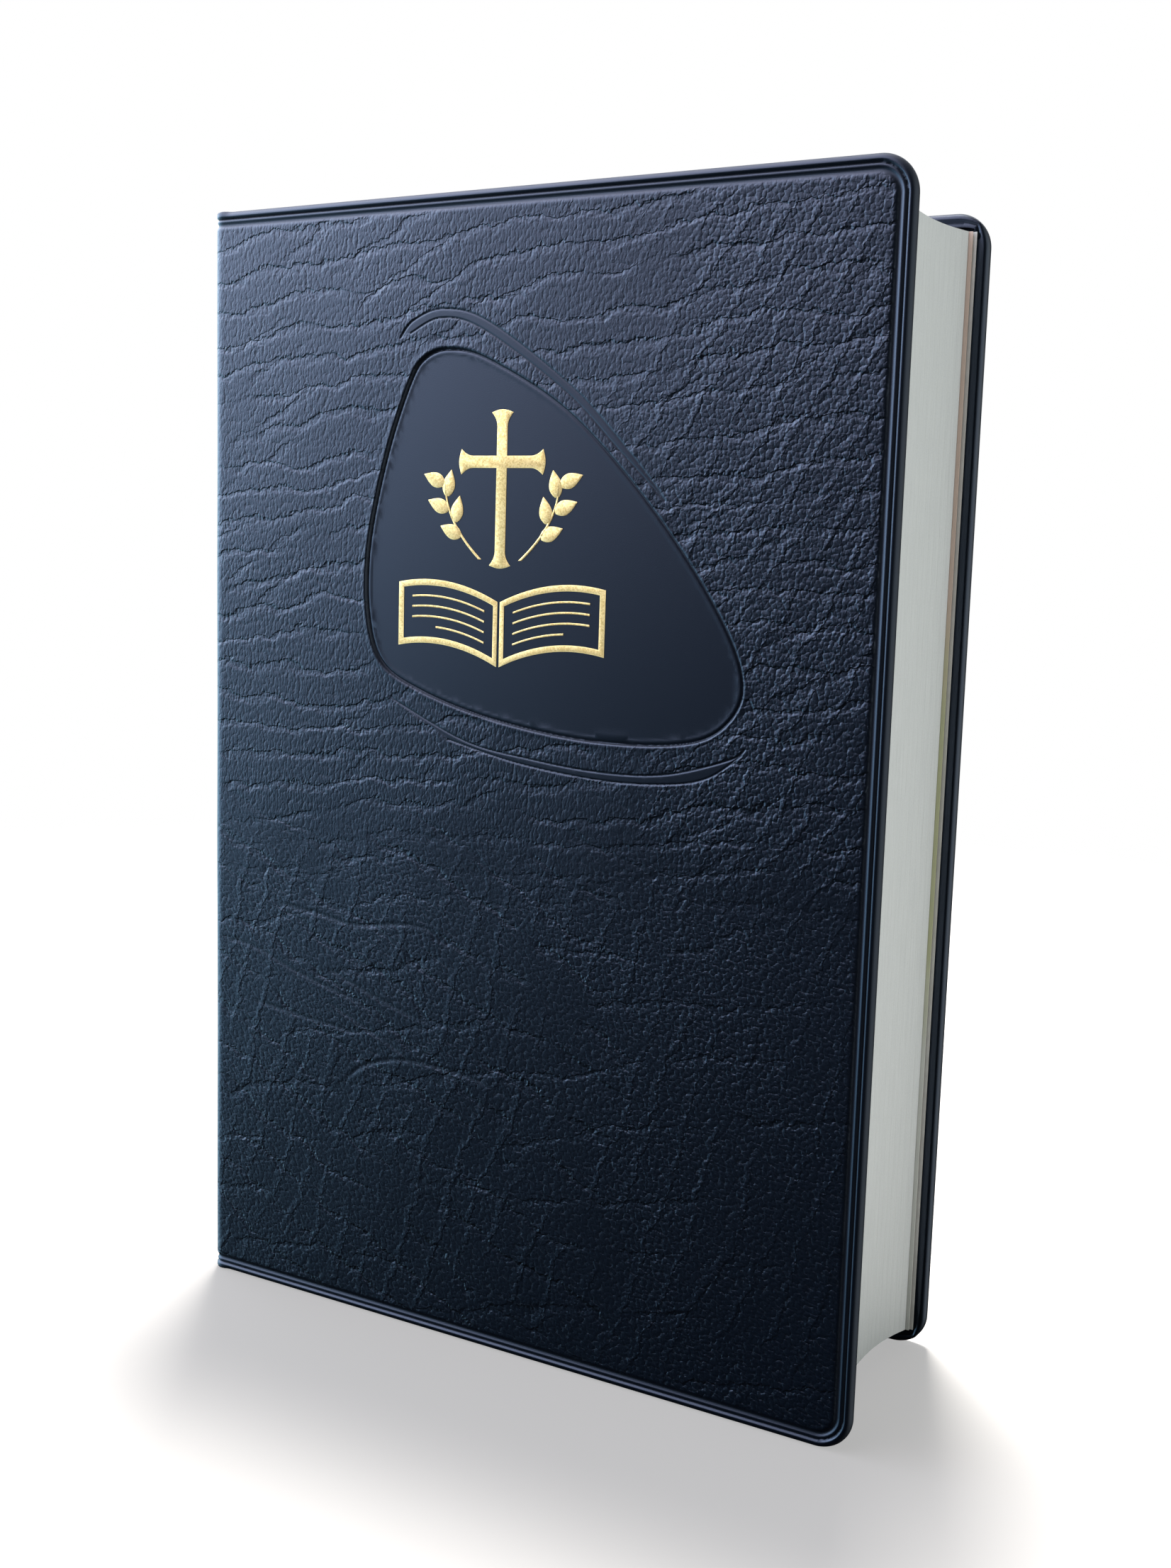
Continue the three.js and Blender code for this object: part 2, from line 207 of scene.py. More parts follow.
# A dim room with soft glows to the left, the right and overhead; only the lens sees it as white.
def makeRoom():
    room = {
        "dark": 0.012,
        "glows": [
            # across, up, brightness in red, green and blue, and how near the aim it starts;
            # the angles turn from the front towards the spine side
            (64, 42, (4.4, 4.15, 4.8), 0.57),
            (82, 10, (1.5, 2.6, 3.3), 0.60),
            (-95, 3, (1.50, 1.56, 1.50), 0.55),
            (150, 35, (1.5, 1.55, 1.7), 0.50),
        ],
    }
    world = bpy.data.worlds.new("studioWorld")
    bpy.context.scene.world = world
    world.use_nodes = True
    g = Graph(world.node_tree)
    background = world.node_tree.nodes["Background"]
    toward = g.node("ShaderNodeTexCoord").outputs["Generated"]
    light = g.node("ShaderNodeCombineXYZ", {axis: room["dark"] for axis in "XYZ"}).outputs[0]
    for across, up, brightness, startsAt in room["glows"]:
        turn, rise = math.radians(across), math.radians(up)
        aim = (-math.sin(turn) * math.cos(rise), -math.cos(turn) * math.cos(rise), math.sin(rise))
        closeness = g.node("ShaderNodeVectorMath", {0: toward, 1: aim}, operation="DOT_PRODUCT")
        glow = g.node("ShaderNodeVectorMath", {0: brightness}, operation="SCALE")
        g.plug(glow.inputs["Scale"], g.ramp(closeness.outputs["Value"], startsAt, 1.0))
        light = g.add(light, glow.outputs[0])
    isLens = g.node("ShaderNodeLightPath").outputs["Is Camera Ray"]
    g.plug(background.inputs["Color"], g.mixColour(isLens, light, (1, 1, 1, 1)))


def makeFloor():
    floorLook = {"size": 1.6, "fades": (0.60, 0.30), "glow": 0.42, "paint": (0.095, 0.09, 0.084, 1)}
    bpy.ops.object.select_all(action="DESELECT")
    bpy.ops.mesh.primitive_grid_add(x_subdivisions=8, y_subdivisions=8, size=floorLook["size"])
    floor = bpy.context.object
    floor.name = "floor"
    paint = bpy.data.materials.new("floorPaint")
    paint.use_nodes = True
    g = Graph(paint.node_tree)
    shader = paint.node_tree.nodes["Principled BSDF"]
    place = g.objectPlace()
    reach = g.node("ShaderNodeVectorMath", {0: place}, operation="LENGTH").outputs["Value"]
    shader.inputs["Base Color"].default_value = floorLook["paint"]
    shader.inputs["Roughness"].default_value = 0.9
    shader.inputs["Specular IOR Level"].default_value = 0.1
    shader.inputs["Emission Color"].default_value = (1, 1, 1, 1)
    isLens = g.node("ShaderNodeLightPath").outputs["Is Camera Ray"]
    g.plug(shader.inputs["Emission Strength"], g.math("MULTIPLY", isLens, floorLook["glow"]))
    g.plug(shader.inputs["Alpha"], g.ramp(reach, *floorLook["fades"]))
    floor.data.materials.append(paint)
    floor.visible_glossy = False
    return floor


# The floor has a lamp of its own, so that it reads white around a soft shadow.
def makeFloorLamp(floor):
    lamp = addSoftbox("floorLamp", (-0.10, 0.20, 1.0), (0, 0, 0), (0.22, 0.22), 120)
    lit = bpy.data.collections.new("floorLampReceivers")
    lit.objects.link(floor)
    lamp.light_linking.receiver_collection = lit


def makeStudio():
    addSoftbox("topBox", (-0.10, 0.16, 1.0), (0, 0, 0.05), (0.3, 0.3), 1.2)
    makeRoom()
    makeFloorLamp(makeFloor())
    bpy.context.scene.view_settings.view_transform = "Standard"


makeCamera()
makeStudio()
print("camera and studio ready")


def turnedVector(g, source):
    turn = {"Vector": source.outputs["Vector"], "Angle": source.outputs["Turn"]}
    return g.node("ShaderNodeVectorRotate", turn, rotation_type="Z_AXIS").outputs[0]


# Long creases that wander side by side: their spacing, width and border in millimetres, and their turn.
# Height climbs gently over the border and drops across the width, so one wall of each crease is steep.
def makeCreaseGroup():
    group, source, result = newGroup(
        "creaseLines",
        [("Vector", "NodeSocketVector", None), ("Spacing", "NodeSocketFloat", 7.0),
         ("Turn", "NodeSocketFloat", 0.0), ("Width", "NodeSocketFloat", 0.4),
         ("Wander", "NodeSocketFloat", 1.5), ("Seed", "NodeSocketFloat", 0.0),
         ("Border", "NodeSocketFloat", 1.6)],
        [("Line", "NodeSocketFloat"), ("Beside", "NodeSocketFloat"), ("Height", "NodeSocketFloat")])
    g = Graph(group)
    turned = turnedVector(g, source)
    seedShift = g.node("ShaderNodeCombineXYZ", {"Z": source.outputs["Seed"]}).outputs[0]
    drift = g.noise(g.add(g.stretch(turned, (0.026, 0.055, 1.0)), seedShift), 1.0, 2.0, 0.55)
    across = g.node("ShaderNodeSeparateXYZ", {0: turned}).outputs["Y"]
    spacing = source.outputs["Spacing"]
    bent = g.product(drift, source.outputs["Wander"])
    phase = g.math("ADD", g.math("DIVIDE", across, spacing), bent)
    offset = g.product(g.math("SUBTRACT", g.math("FRACT", phase), 0.5), spacing)
    width, border = source.outputs["Width"], source.outputs["Border"]
    climb = g.ramp(offset, g.product(border, -1.0), 0.0)
    drop = g.ramp(offset, width, 0.0, smooth=False)
    g.plug(result.inputs["Height"], g.product(climb, drop))
    offWall = g.math("ABSOLUTE", g.math("SUBTRACT", offset, g.product(width, 0.5)))
    g.plug(result.inputs["Line"], g.ramp(offWall, width, g.product(width, 0.3)))
    g.plug(result.inputs["Beside"], g.ramp(offWall, border, width))
    return group


# Pebbled grain: domed cells, longer one way, with narrow valleys between them.
def makePebbleGroup():
    group, source, result = newGroup(
        "pebbleGrain",
        [("Vector", "NodeSocketVector", None), ("Width", "NodeSocketFloat", 0.9),
         ("Length", "NodeSocketFloat", 2.0), ("Turn", "NodeSocketFloat", 0.0)],
        [("Dome", "NodeSocketFloat")])
    g = Graph(group)
    sides = {"X": source.outputs["Width"], "Y": source.outputs["Length"], "Z": 1.0}
    size = g.node("ShaderNodeCombineXYZ", sides).outputs[0]
    sized = g.node("ShaderNodeVectorMath", {0: turnedVector(g, source), 1: size}, operation="DIVIDE")
    cells = g.node("ShaderNodeTexVoronoi", {"Vector": sized.outputs[0], "Scale": 1.0, "Randomness": 1.0},
                   voronoi_dimensions="2D", feature="F1")
    distance = cells.outputs["Distance"]
    g.plug(result.inputs["Dome"], g.math("SUBTRACT", 1.0, g.product(distance, distance), clamp=True))
    return group


creaseGroup = makeCreaseGroup()
pebbleGroup = makePebbleGroup()


def startMaterial(name):
    material = bpy.data.materials.new(name)
    material.use_nodes = True
    shader = material.node_tree.nodes["Principled BSDF"]
    return material, Graph(material.node_tree), shader


def uvMillimetres(g):
    uv = g.node("ShaderNodeUVMap", uv_map="surfaceUv").outputs["UV"]
    return g.node("ShaderNodeVectorMath", {0: uv, 1: (100, 100, 100)}, operation="MULTIPLY").outputs[0]


def makeGrainedVinyl():
    look = {
        "field": (0.0009, 0.0024, 0.0052, 1),
        # the dark colour of the painted shade in pebble valleys, creases and pressed lines
        "valley": (0.0002, 0.0006, 0.0012, 1),
        "sheen": (0.61, 0.74, 1.0, 1),
        "roughness": (0.30, 0.31, 0.40, 0.60),    # smooth panel, pebble tops, valleys, pressed lines
        "creaseDepth": 0.00010,
        "pebbleDepth": (0.00005, 0.00013),    # calm stretches, bold stretches
        "microDepth": 0.000012,
        "bend": 3.2,
        "jitter": (1.5, 0.9),    # of the creases, of the pebbles
        "upperFrom": (84.0, 108.0),
        "rightFrom": (14.0, 40.0),
        "patchDrift": 40.0,
        "pebbles": [(0.56, 1.20, 3.0), (0.66, 0.80, -30.0), (0.52, 0.95, -58.0)],    # width, length, turn
        "pebbleMean": 0.9,
    }
    material, g, shader = startMaterial("grainedVinyl")
    place = uvMillimetres(g)
    grain = g.attribute("grain")
    groove = g.attribute("groove")

    # Jagged coordinates for the creases: a slow bend and a quick jitter.
    slow = g.noise(place, 0.22, 1.0, 0.5, "Color")
    quick = g.noise(place, 1.0, 1.0, 0.6, "Color")
    creaseJitter, pebbleJitter = look["jitter"]
    push = g.nudge(place, slow, look["bend"])
    jagged = g.nudge(push, quick, creaseJitter)

    # Large patches decide where each kind of crease shows and how bold the pebbles are.
    patches = g.node("ShaderNodeSeparateColor", {0: g.noise(place, 0.055, 2.0, 0.55, "Color")})
    patchA, patchB, patchC = (patches.outputs[k] for k in range(3))
    axes = g.node("ShaderNodeSeparateXYZ", {0: push})
    drift = g.product(patchC, look["patchDrift"])
    along = g.math("SUBTRACT", g.math("ADD", axes.outputs["X"], drift), look["patchDrift"] / 2)
    up = g.math("SUBTRACT", g.math("ADD", axes.outputs["Y"], drift), look["patchDrift"] / 2)
    upper = g.ramp(up, *look["upperFrom"])
    right = g.ramp(along, *look["rightFrom"])
    lower = g.math("SUBTRACT", 1.0, upper)
    left = g.math("SUBTRACT", 1.0, right)

    # spacing, turn, width, wander, seed, patch, shown from, where, strength (below zero: steep wall above)
    families = [
        (5.6, -6.0, 0.30, 2.0, 0.0, patchA, 0.33, upper, -1.0),
        (7.5, -28.0, 0.28, 1.5, 9.0, patchB, 0.47, upper, -0.8),
        (5.2, 122.0, 0.28, 1.8, 4.0, patchB, 0.32, g.product(upper, right), 0.6),
        (8.0, 24.0, 0.34, 1.5, 17.0, patchA, 0.36, g.product(lower, left), -1.0),
        (6.5, 108.0, 0.28, 1.8, 23.0, patchC, 0.38, lower, 0.45),
        (11.0, -12.0, 0.30, 1.2, 31.0, patchB, 0.42, lower, -0.7),
    ]
    creaseShade = beside = folded = 0.0
    for spacing, turn, width, wanderBy, seed, patch, shownFrom, where, strength in families:
        lines = g.node("ShaderNodeGroup", {
            "Vector": jagged, "Spacing": spacing, "Turn": math.radians(turn),
            "Width": width, "Wander": wanderBy, "Seed": seed}, node_tree=creaseGroup)
        shown = g.product(g.ramp(patch, shownFrom, shownFrom + 0.16), where)
        creaseShade = g.highest(creaseShade, g.product(lines.outputs["Line"], shown, abs(strength)))
        beside = g.highest(beside, g.product(lines.outputs["Beside"], shown))
        folded = g.math("ADD", folded, g.product(lines.outputs["Height"], shown, strength))
    creaseShade = g.product(creaseShade, grain)

    # Upright pebbles above, slanting ones below; broader and bolder towards the fore-edge.
    bent = g.nudge(place, quick, pebbleJitter)
    domes = []
    for width, length, turn in look["pebbles"]:
        cells = g.node("ShaderNodeGroup", {
            "Vector": bent, "Width": width, "Length": length, "Turn": math.radians(turn)},
            node_tree=pebbleGroup)
        domes.append(cells.outputs["Dome"])
    pebble = g.mixValue(upper, domes[2], g.mixValue(right, domes[0], domes[1]))
    quickValue = g.node("ShaderNodeSeparateColor", {0: quick}).outputs[2]
    pebble = g.math("ADD", pebble, g.product(quickValue, 0.35))
    bold = g.highest(g.ramp(patchB, 0.40, 0.65), beside)
    bold = g.math("ADD", g.product(right, 0.4), g.product(bold, 0.25))
    pebbleDepth = g.mixValue(bold, *look["pebbleDepth"])
    relief = g.product(g.math("SUBTRACT", pebble, look["pebbleMean"]), pebbleDepth, grain)
    micro = g.product(g.noise(place, 5.0, 2.0, 0.6), look["microDepth"])
    wrinkle = g.product(folded, grain, look["creaseDepth"])
    g.bump(shader, g.math("ADD", g.math("ADD", relief, micro), wrinkle), 1.0, 1.0)

    # Painted shade: the base colour is darkened in the valleys between pebbles, along the creases and on the
    # pressed lines, where shade falls.
    valley = g.product(g.ramp(pebble, 0.85, 0.50), grain)
    dark = g.highest(g.product(creaseShade, 0.9), groove, g.product(valley, 0.7))
    shader.inputs["Specular IOR Level"].default_value = 0.7
    shader.inputs["Specular Tint"].default_value = look["sheen"]
    g.plug(shader.inputs["Base Color"], g.mixColour(dark, look["field"], look["valley"]))
    smoothRough, topRough, valleyRough, grooveRough = look["roughness"]
    rough = g.mixValue(grain, smoothRough, g.mixValue(valley, topRough, valleyRough))
    g.plug(shader.inputs["Roughness"], g.mixValue(groove, rough, grooveRough))
    return material


def makeLinerVinyl():
    look = {"dark": (0.004, 0.004, 0.006, 1), "light": (0.009, 0.009, 0.012, 1), "roughness": (0.38, 0.52)}
    material, g, shader = startMaterial("linerVinyl")
    place = g.objectPlace()
    cloud = g.noise(place, 60.0, 4.0, 0.6)
    shader.inputs["Specular IOR Level"].default_value = 0.4
    g.plug(shader.inputs["Base Color"], g.mixColour(cloud, look["dark"], look["light"]))
    g.plug(shader.inputs["Roughness"], g.ramp(cloud, 0.3, 0.7, *look["roughness"]))
    g.bump(shader, g.noise(place, 2500.0, 2.0, 0.5), 0.00003, 0.6)
    return material


def makePageEdge():
    look = {
        "light": (0.64, 0.67, 0.675, 1),
        "shade": (0.56, 0.59, 0.60, 1),
        "ledge": (0.50, 0.54, 0.55, 1),
        "endShadeColour": (0.30, 0.31, 0.31, 1),
    }
    material, g, shader = startMaterial("pageEdge")
    place = uvMillimetres(g)
    leaves = g.noise(g.stretch(place, (1.0, 0.012, 1.0)), 7.0, 4.0, 0.65)
    specks = g.noise(place, 3.0, 3.0, 0.6)
    tone = g.math("ADD", g.product(leaves, 0.65), g.product(specks, 0.35))
    # Painted shadow: the ledge beside the front cover is darker, as if under the cover's shadow.
    ledge = g.product(g.attribute("ledge"), 0.6)
    edge = g.mixColour(g.ramp(tone, 0.3, 0.62), look["shade"], look["light"])
    edge = g.mixColour(ledge, edge, look["ledge"])
    # Painted shade: head and tail are darkened against the fore-edge, so that the light from above does not
    # wash them out.
    normal = g.node("ShaderNodeTexCoord").outputs["Normal"]
    facing = g.math("ABSOLUTE", g.node("ShaderNodeSeparateXYZ", {0: normal}).outputs["Z"])
    endShade = g.product(g.ramp(facing, 0.6, 0.9), g.ramp(tone, 0.75, 0.25, 0.55, 1.0))
    g.plug(shader.inputs["Base Color"], g.mixColour(endShade, edge, look["endShadeColour"]))
    shader.inputs["Specular IOR Level"].default_value = 0.25
    g.plug(shader.inputs["Roughness"], g.ramp(tone, 0.2, 0.8, 0.72, 0.9))
    g.bump(shader, leaves, 0.00006, 0.7)
    return material


def makePrintedPage():
    # Thin paper with two columns of broken grey rules standing for the print; nothing can be read.
    page = {
        "left": -47.0, "right": 60.0, "gutter": 6.0, "low": 16.0, "high": 192.0,
        "linePitch": 2.9, "lineShare": 0.42,
        "paper": ((0.54, 0.54, 0.51, 1), (0.60, 0.595, 0.565, 1)),
        "ink": (0.16, 0.16, 0.17, 1), "inkStrength": 0.62,
    }
    material, g, shader = startMaterial("printedPage")
    place = uvMillimetres(g)
    axes = g.node("ShaderNodeSeparateXYZ", {0: place})
    across, up = axes.outputs["X"], axes.outputs["Y"]
    middle = (page["left"] + page["right"]) / 2

    def between(value, low, high):
        above = g.math("GREATER_THAN", value, low)
        below = g.math("LESS_THAN", value, high)
        return g.product(above, below)

    leftColumn = between(across, page["left"], middle - page["gutter"] / 2)
    rightColumn = between(across, middle + page["gutter"] / 2, page["right"])
    column = g.math("ADD", leftColumn, rightColumn)
    tall = between(up, page["low"], page["high"])
    lines = g.math("DIVIDE", up, page["linePitch"])
    rule = g.math("LESS_THAN", g.math("FRACT", lines), page["lineShare"])
    words = {"X": g.product(across, 0.45), "Y": g.product(g.math("FLOOR", lines), 7.31)}
    gaps = g.ramp(g.noise(g.node("ShaderNodeCombineXYZ", words).outputs[0], 1.0, 1.0, 0.3), 0.36, 0.42)
    ink = g.product(column, tall, rule, gaps, page["inkStrength"])
    fibre = g.noise(place, 0.8, 4.0, 0.6)
    paper = g.mixColour(fibre, *page["paper"])
    g.plug(shader.inputs["Base Color"], g.mixColour(ink, paper, page["ink"]))
    shader.inputs["Specular IOR Level"].default_value = 0.25
    g.plug(shader.inputs["Roughness"], g.ramp(fibre, 0.2, 0.8, 0.65, 0.8))
    g.bump(shader, fibre, 0.00004, 0.5)
    return material


def makeMapPaper():
    # Tinted leaf: warm sand at the head, yellow-green lower down, pale at the tail.
    look = {
        "sand": (0.64, 0.50, 0.42, 1), "sandFrom": (120.0, 145.0),
        "olive": (0.50, 0.52, 0.31, 1), "oliveFrom": (55.0, 85.0),
        "pale": (0.62, 0.64, 0.60, 1),
    }
    material, g, shader = startMaterial("mapPaper")
    place = uvMillimetres(g)
    up = g.node("ShaderNodeSeparateXYZ", {0: place}).outputs["Y"]
    cloud = g.noise(place, 0.05, 3.0, 0.6)
    height = g.math("ADD", up, g.product(g.math("SUBTRACT", cloud, 0.5), 30.0))
    lowPart = g.mixColour(g.ramp(height, *look["oliveFrom"]), look["pale"], look["olive"])
    colour = g.mixColour(g.ramp(height, *look["sandFrom"]), lowPart, look["sand"])
    g.plug(shader.inputs["Base Color"], colour)
    g.plug(shader.inputs["Roughness"], g.ramp(cloud, 0.2, 0.8, 0.5, 0.62))
    g.bump(shader, g.noise(place, 2.0, 3.0), 0.00003, 0.4)
    return material


def makeSheetMaterial(name, dark, light, scale, roughness, depth):
    # Paper, board, muslin and thread: a mottled colour with a fine surface of its own.
    material, g, shader = startMaterial(name)
    place = g.objectPlace()
    cloud = g.noise(place, scale, 4.0, 0.6)
    fine = g.noise(place, scale * 12, 3.0, 0.6)
    mixed = g.math("ADD", g.product(cloud, 0.5), g.product(fine, 0.5))
    g.plug(shader.inputs["Base Color"], g.mixColour(g.ramp(mixed, 0.35, 0.65), (*dark, 1), (*light, 1)))
    shader.inputs["Specular IOR Level"].default_value = 0.3
    g.plug(shader.inputs["Roughness"], g.ramp(mixed, 0.2, 0.8, roughness - 0.06, roughness + 0.06))
    g.bump(shader, mixed, depth, 0.6)
    return material


def makeGoldFoil():
    look = {"bright": (1.0, 0.78, 0.36, 1), "dull": (0.62, 0.42, 0.13, 1), "pit": (0.22, 0.15, 0.05, 1)}
    material, g, shader = startMaterial("goldFoil")
    place = g.objectPlace()
    grain = g.noise(place, 3200.0, 3.0, 0.65)
    patch = g.noise(place, 55.0, 3.0, 0.5)
    pits = g.ramp(g.noise(place, 5200.0, 2.0, 0.5), 0.62, 0.70)
    wear = g.math("ADD", g.product(grain, 0.6), g.product(patch, 0.4))
    worn = g.product(g.ramp(wear, 0.40, 0.62), 0.75)
    base = g.mixColour(worn, look["bright"], look["dull"])
    base = g.mixColour(g.product(pits, 0.7), base, look["pit"])
    base = g.mixColour(g.attribute("rim"), base, look["bright"])
    g.plug(shader.inputs["Base Color"], base)
    shader.inputs["Metallic"].default_value = 0.75
    g.plug(shader.inputs["Roughness"], g.ramp(grain, 0.3, 0.7, 0.42, 0.62))
    g.bump(shader, grain, 0.00003, 0.6)
    return material


def makeHeadbandCloth():
    look = {
        "dark": (0.02, 0.025, 0.05, 1), "light": (0.70, 0.68, 0.62, 1),
        "stripe": 0.0017, "thread": 0.00042,    # pitches, in metres
    }
    material, g, shader = startMaterial("headbandCloth")
    place = g.objectPlace()
    depth = g.node("ShaderNodeSeparateXYZ", {0: place}).outputs["Y"]
    stripes = g.math("SINE", g.product(depth, 2 * math.pi / look["stripe"]))
    threads = g.math("SINE", g.product(depth, 2 * math.pi / look["thread"]))
    g.plug(shader.inputs["Base Color"], g.mixColour(g.ramp(stripes, -0.2, 0.2), look["dark"], look["light"]))
    g.plug(shader.inputs["Roughness"], g.ramp(threads, -1.0, 1.0, 0.75, 0.55))
    g.bump(shader, threads, 0.00012, 0.7)
    return material


finishes = {
    "vinyl": makeGrainedVinyl(),
    "liner": makeLinerVinyl(),
    "pageEdge": makePageEdge(),
    "printedPage": makePrintedPage(),
    "mapPaper": makeMapPaper(),
    "endpaper": makeSheetMaterial("endpaper", (0.54, 0.54, 0.52), (0.62, 0.62, 0.60), 40, 0.78, 0.00004),
    "board": makeSheetMaterial("greyBoard", (0.25, 0.24, 0.22), (0.36, 0.34, 0.31), 90, 0.88, 0.0001),
    "muslin": makeSheetMaterial("muslin", (0.45, 0.42, 0.34), (0.62, 0.59, 0.50), 160, 0.9, 0.0001),
    "thread": makeSheetMaterial("linenThread", (0.55, 0.52, 0.44), (0.72, 0.69, 0.60), 220, 0.8, 0.0001),
    "glue": makeSheetMaterial("spineGlue", (0.50, 0.47, 0.38), (0.62, 0.59, 0.50), 70, 0.45, 0.0001),
    "foil": makeGoldFoil(),
    "headband": makeHeadbandCloth(),
}
print("materials ready")


def makeActive(piece):
    bpy.ops.object.select_all(action="DESELECT")
    piece.select_set(True)
    bpy.context.view_layer.objects.active = piece


def readPoints(mesh):
    values = np.empty(len(mesh.vertices) * 3)
    mesh.vertices.foreach_get("co", values)
    return values.reshape(-1, 3)


def writePoints(mesh, points):
    mesh.vertices.foreach_set("co", np.asarray(points, float).ravel())
    mesh.update()


def writeAttribute(mesh, name, values):
    attribute = mesh.attributes.get(name) or mesh.attributes.new(name, "FLOAT", "POINT")
    attribute.data.foreach_set("value", np.asarray(values, np.float32))


# The pattern's place on each face corner, in millimetres.
def writeCornerUv(mesh, perCorner):
    layer = mesh.uv_layers.get("surfaceUv") or mesh.uv_layers.new(name="surfaceUv")
    layer.data.foreach_set("uv", (perCorner / 100).ravel())


def writeUv(mesh, perVertex):
    corners = np.empty(len(mesh.loops), int)
    mesh.loops.foreach_get("vertex_index", corners)
    writeCornerUv(mesh, np.asarray(perVertex, float)[corners])


def selectedPoints(mesh):
    chosen = np.empty(len(mesh.vertices), bool)
    mesh.vertices.foreach_get("select", chosen)
    return chosen


# Leaves the piece in edit mode with just these faces selected.
def chooseFaces(piece, mask):
    makeActive(piece)
    bpy.ops.object.mode_set(mode="EDIT")
    bpy.ops.mesh.select_mode(type="FACE")
    bpy.ops.mesh.select_all(action="DESELECT")
    bpy.ops.object.mode_set(mode="OBJECT")
    piece.data.polygons.foreach_set("select", mask)
    bpy.ops.object.mode_set(mode="EDIT")


def smoothByAngle(piece, degrees):
    makeActive(piece)
    bpy.ops.object.shade_smooth_by_angle(angle=math.radians(degrees))


def smoothstep(low, high, value):
    t = np.clip((value - low) / (high - low), 0, 1)
    return t * t * (3 - 2 * t)


def bell(value, centre, width):
    return np.exp(-((value - centre) / width) ** 2)


def spline(knots, closed=False, perSpan=24):
    # Points along a smooth line through the knots.
    knots = np.asarray(knots, float)
    count = len(knots)
    spans = count if closed else count - 1
    points = []
    for i in range(spans):
        if closed:
            a, b, c, d = (knots[(i + k) % count] for k in (-1, 0, 1, 2))
        else:
            a, b, c, d = (knots[min(max(i + k, 0), count - 1)] for k in (-1, 0, 1, 2))
        for step in range(perSpan):
            t = step / perSpan
            points.append(0.5 * (2 * b + (c - a) * t + (2 * a - 5 * b + 4 * c - d) * t ** 2
                                 + (3 * b - a - 3 * c + d) * t ** 3))
    if not closed:
        points.append(knots[-1])
    return np.array(points)


def lineDistance(points, line, closed=False):
    # Distance from each point to a line, and how far along it the nearest place is, from 0 to 1.
    starts = line if closed else line[:-1]
    endShadeColour = np.roll(line, -1, axis=0) if closed else line[1:]
    best = np.full(len(points), 1e9)
    share = np.zeros(len(points))
    for index, (a, b) in enumerate(zip(starts, endShadeColour)):
        along = b - a
        t = np.clip(((points - a) @ along) / (along @ along), 0, 1)
        gap = np.hypot(*(points - a - t[:, None] * along).T)
        closer = gap < best
        best[closer] = gap[closer]
        share[closer] = (index + t[closer]) / len(starts)
    return best, share


def insideLine(points, line):
    inside = np.zeros(len(points), bool)
    for a, b in zip(line, np.roll(line, -1, axis=0)):
        crosses = (a[1] > points[:, 1]) != (b[1] > points[:, 1])
        if a[1] != b[1]:
            edge = a[0] + (points[:, 1] - a[1]) / (b[1] - a[1]) * (b[0] - a[0])
            inside ^= crosses & (points[:, 0] < edge)
    return inside


def finishPiece(piece, body, nodes, smoothAngle=40):
    smoothByAngle(piece, smoothAngle)
    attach(piece, body)
    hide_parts(*nodes)


# The smooth panel pressed into the front cover, and the outer and inner lines of the band above and below it.
panel = {
    "outline": [(-15.0, 183.2), (-6.5, 181.0), (9.8, 171.7), (26.0, 156.0), (38.8, 139.2), (43.8, 127.9),
                (41.0, 120.6), (32.7, 116.7), (14.4, 115.9), (-5.1, 118.2), (-20.5, 122.3), (-29.4, 127.2),
                (-32.6, 136.5), (-32.4, 149.0), (-28.8, 164.5), (-24.0, 177.2), (-20.6, 181.8)],
    "bands": [
        ([(-26.0, 185.0), (-23.0, 188.2), (-16.5, 190.0), (-7.0, 187.4), (9.7, 176.2), (20.5, 166.0),
          (28.5, 157.3)],
         [(-23.5, 186.0), (-17.0, 188.4), (-8.1, 186.1), (8.6, 175.3), (19.5, 165.3), (28.3, 157.1)]),
        ([(-27.7, 121.1), (-10.8, 114.1), (3.0, 111.9), (17.3, 110.8), (30.0, 111.5), (41.8, 115.0),
          (44.8, 117.2)],
         [(-14.0, 113.9), (0.8, 110.9), (17.3, 109.4), (30.0, 109.8), (38.0, 111.6), (44.0, 115.9)]),
    ],
    "depth": 0.40,
    "lineDepth": 0.26,
    "bandDepth": 0.07,
    "bandLineDepth": 0.15,
    "innerRise": 0.09,
    "outerRise": 0.05,
}

# The welded rim, in from the edge: a bead, a fine line, a wider groove, then the grain. The fine line, the
# groove and the outer roll are darkened with painted shade.
rim = {
    "line": (1.55, 0.20), "lineDepth": 0.34, "linePaintedShade": 0.9,    # place and width
    "step": (1.2, 1.6, 2.8, 3.6), "stepDepth": 0.10,    # falls over the first two, rises over the last two
    "groove": (2.62, 0.36), "grooveDepth": 0.30,
    "groovePaintedShadeBand": (2.70, 0.30), "groovePaintedShade": 0.75,
    "outsidePaintedShadeFades": (0.25, 0.9), "outsidePaintedShade": 0.85,
    "grainFrom": (2.7, 3.7),
}

# The slow swell of the limp sheets.
swell = {"size": 46, "seed": 5, "cover": 0.10, "spine": 0.06}

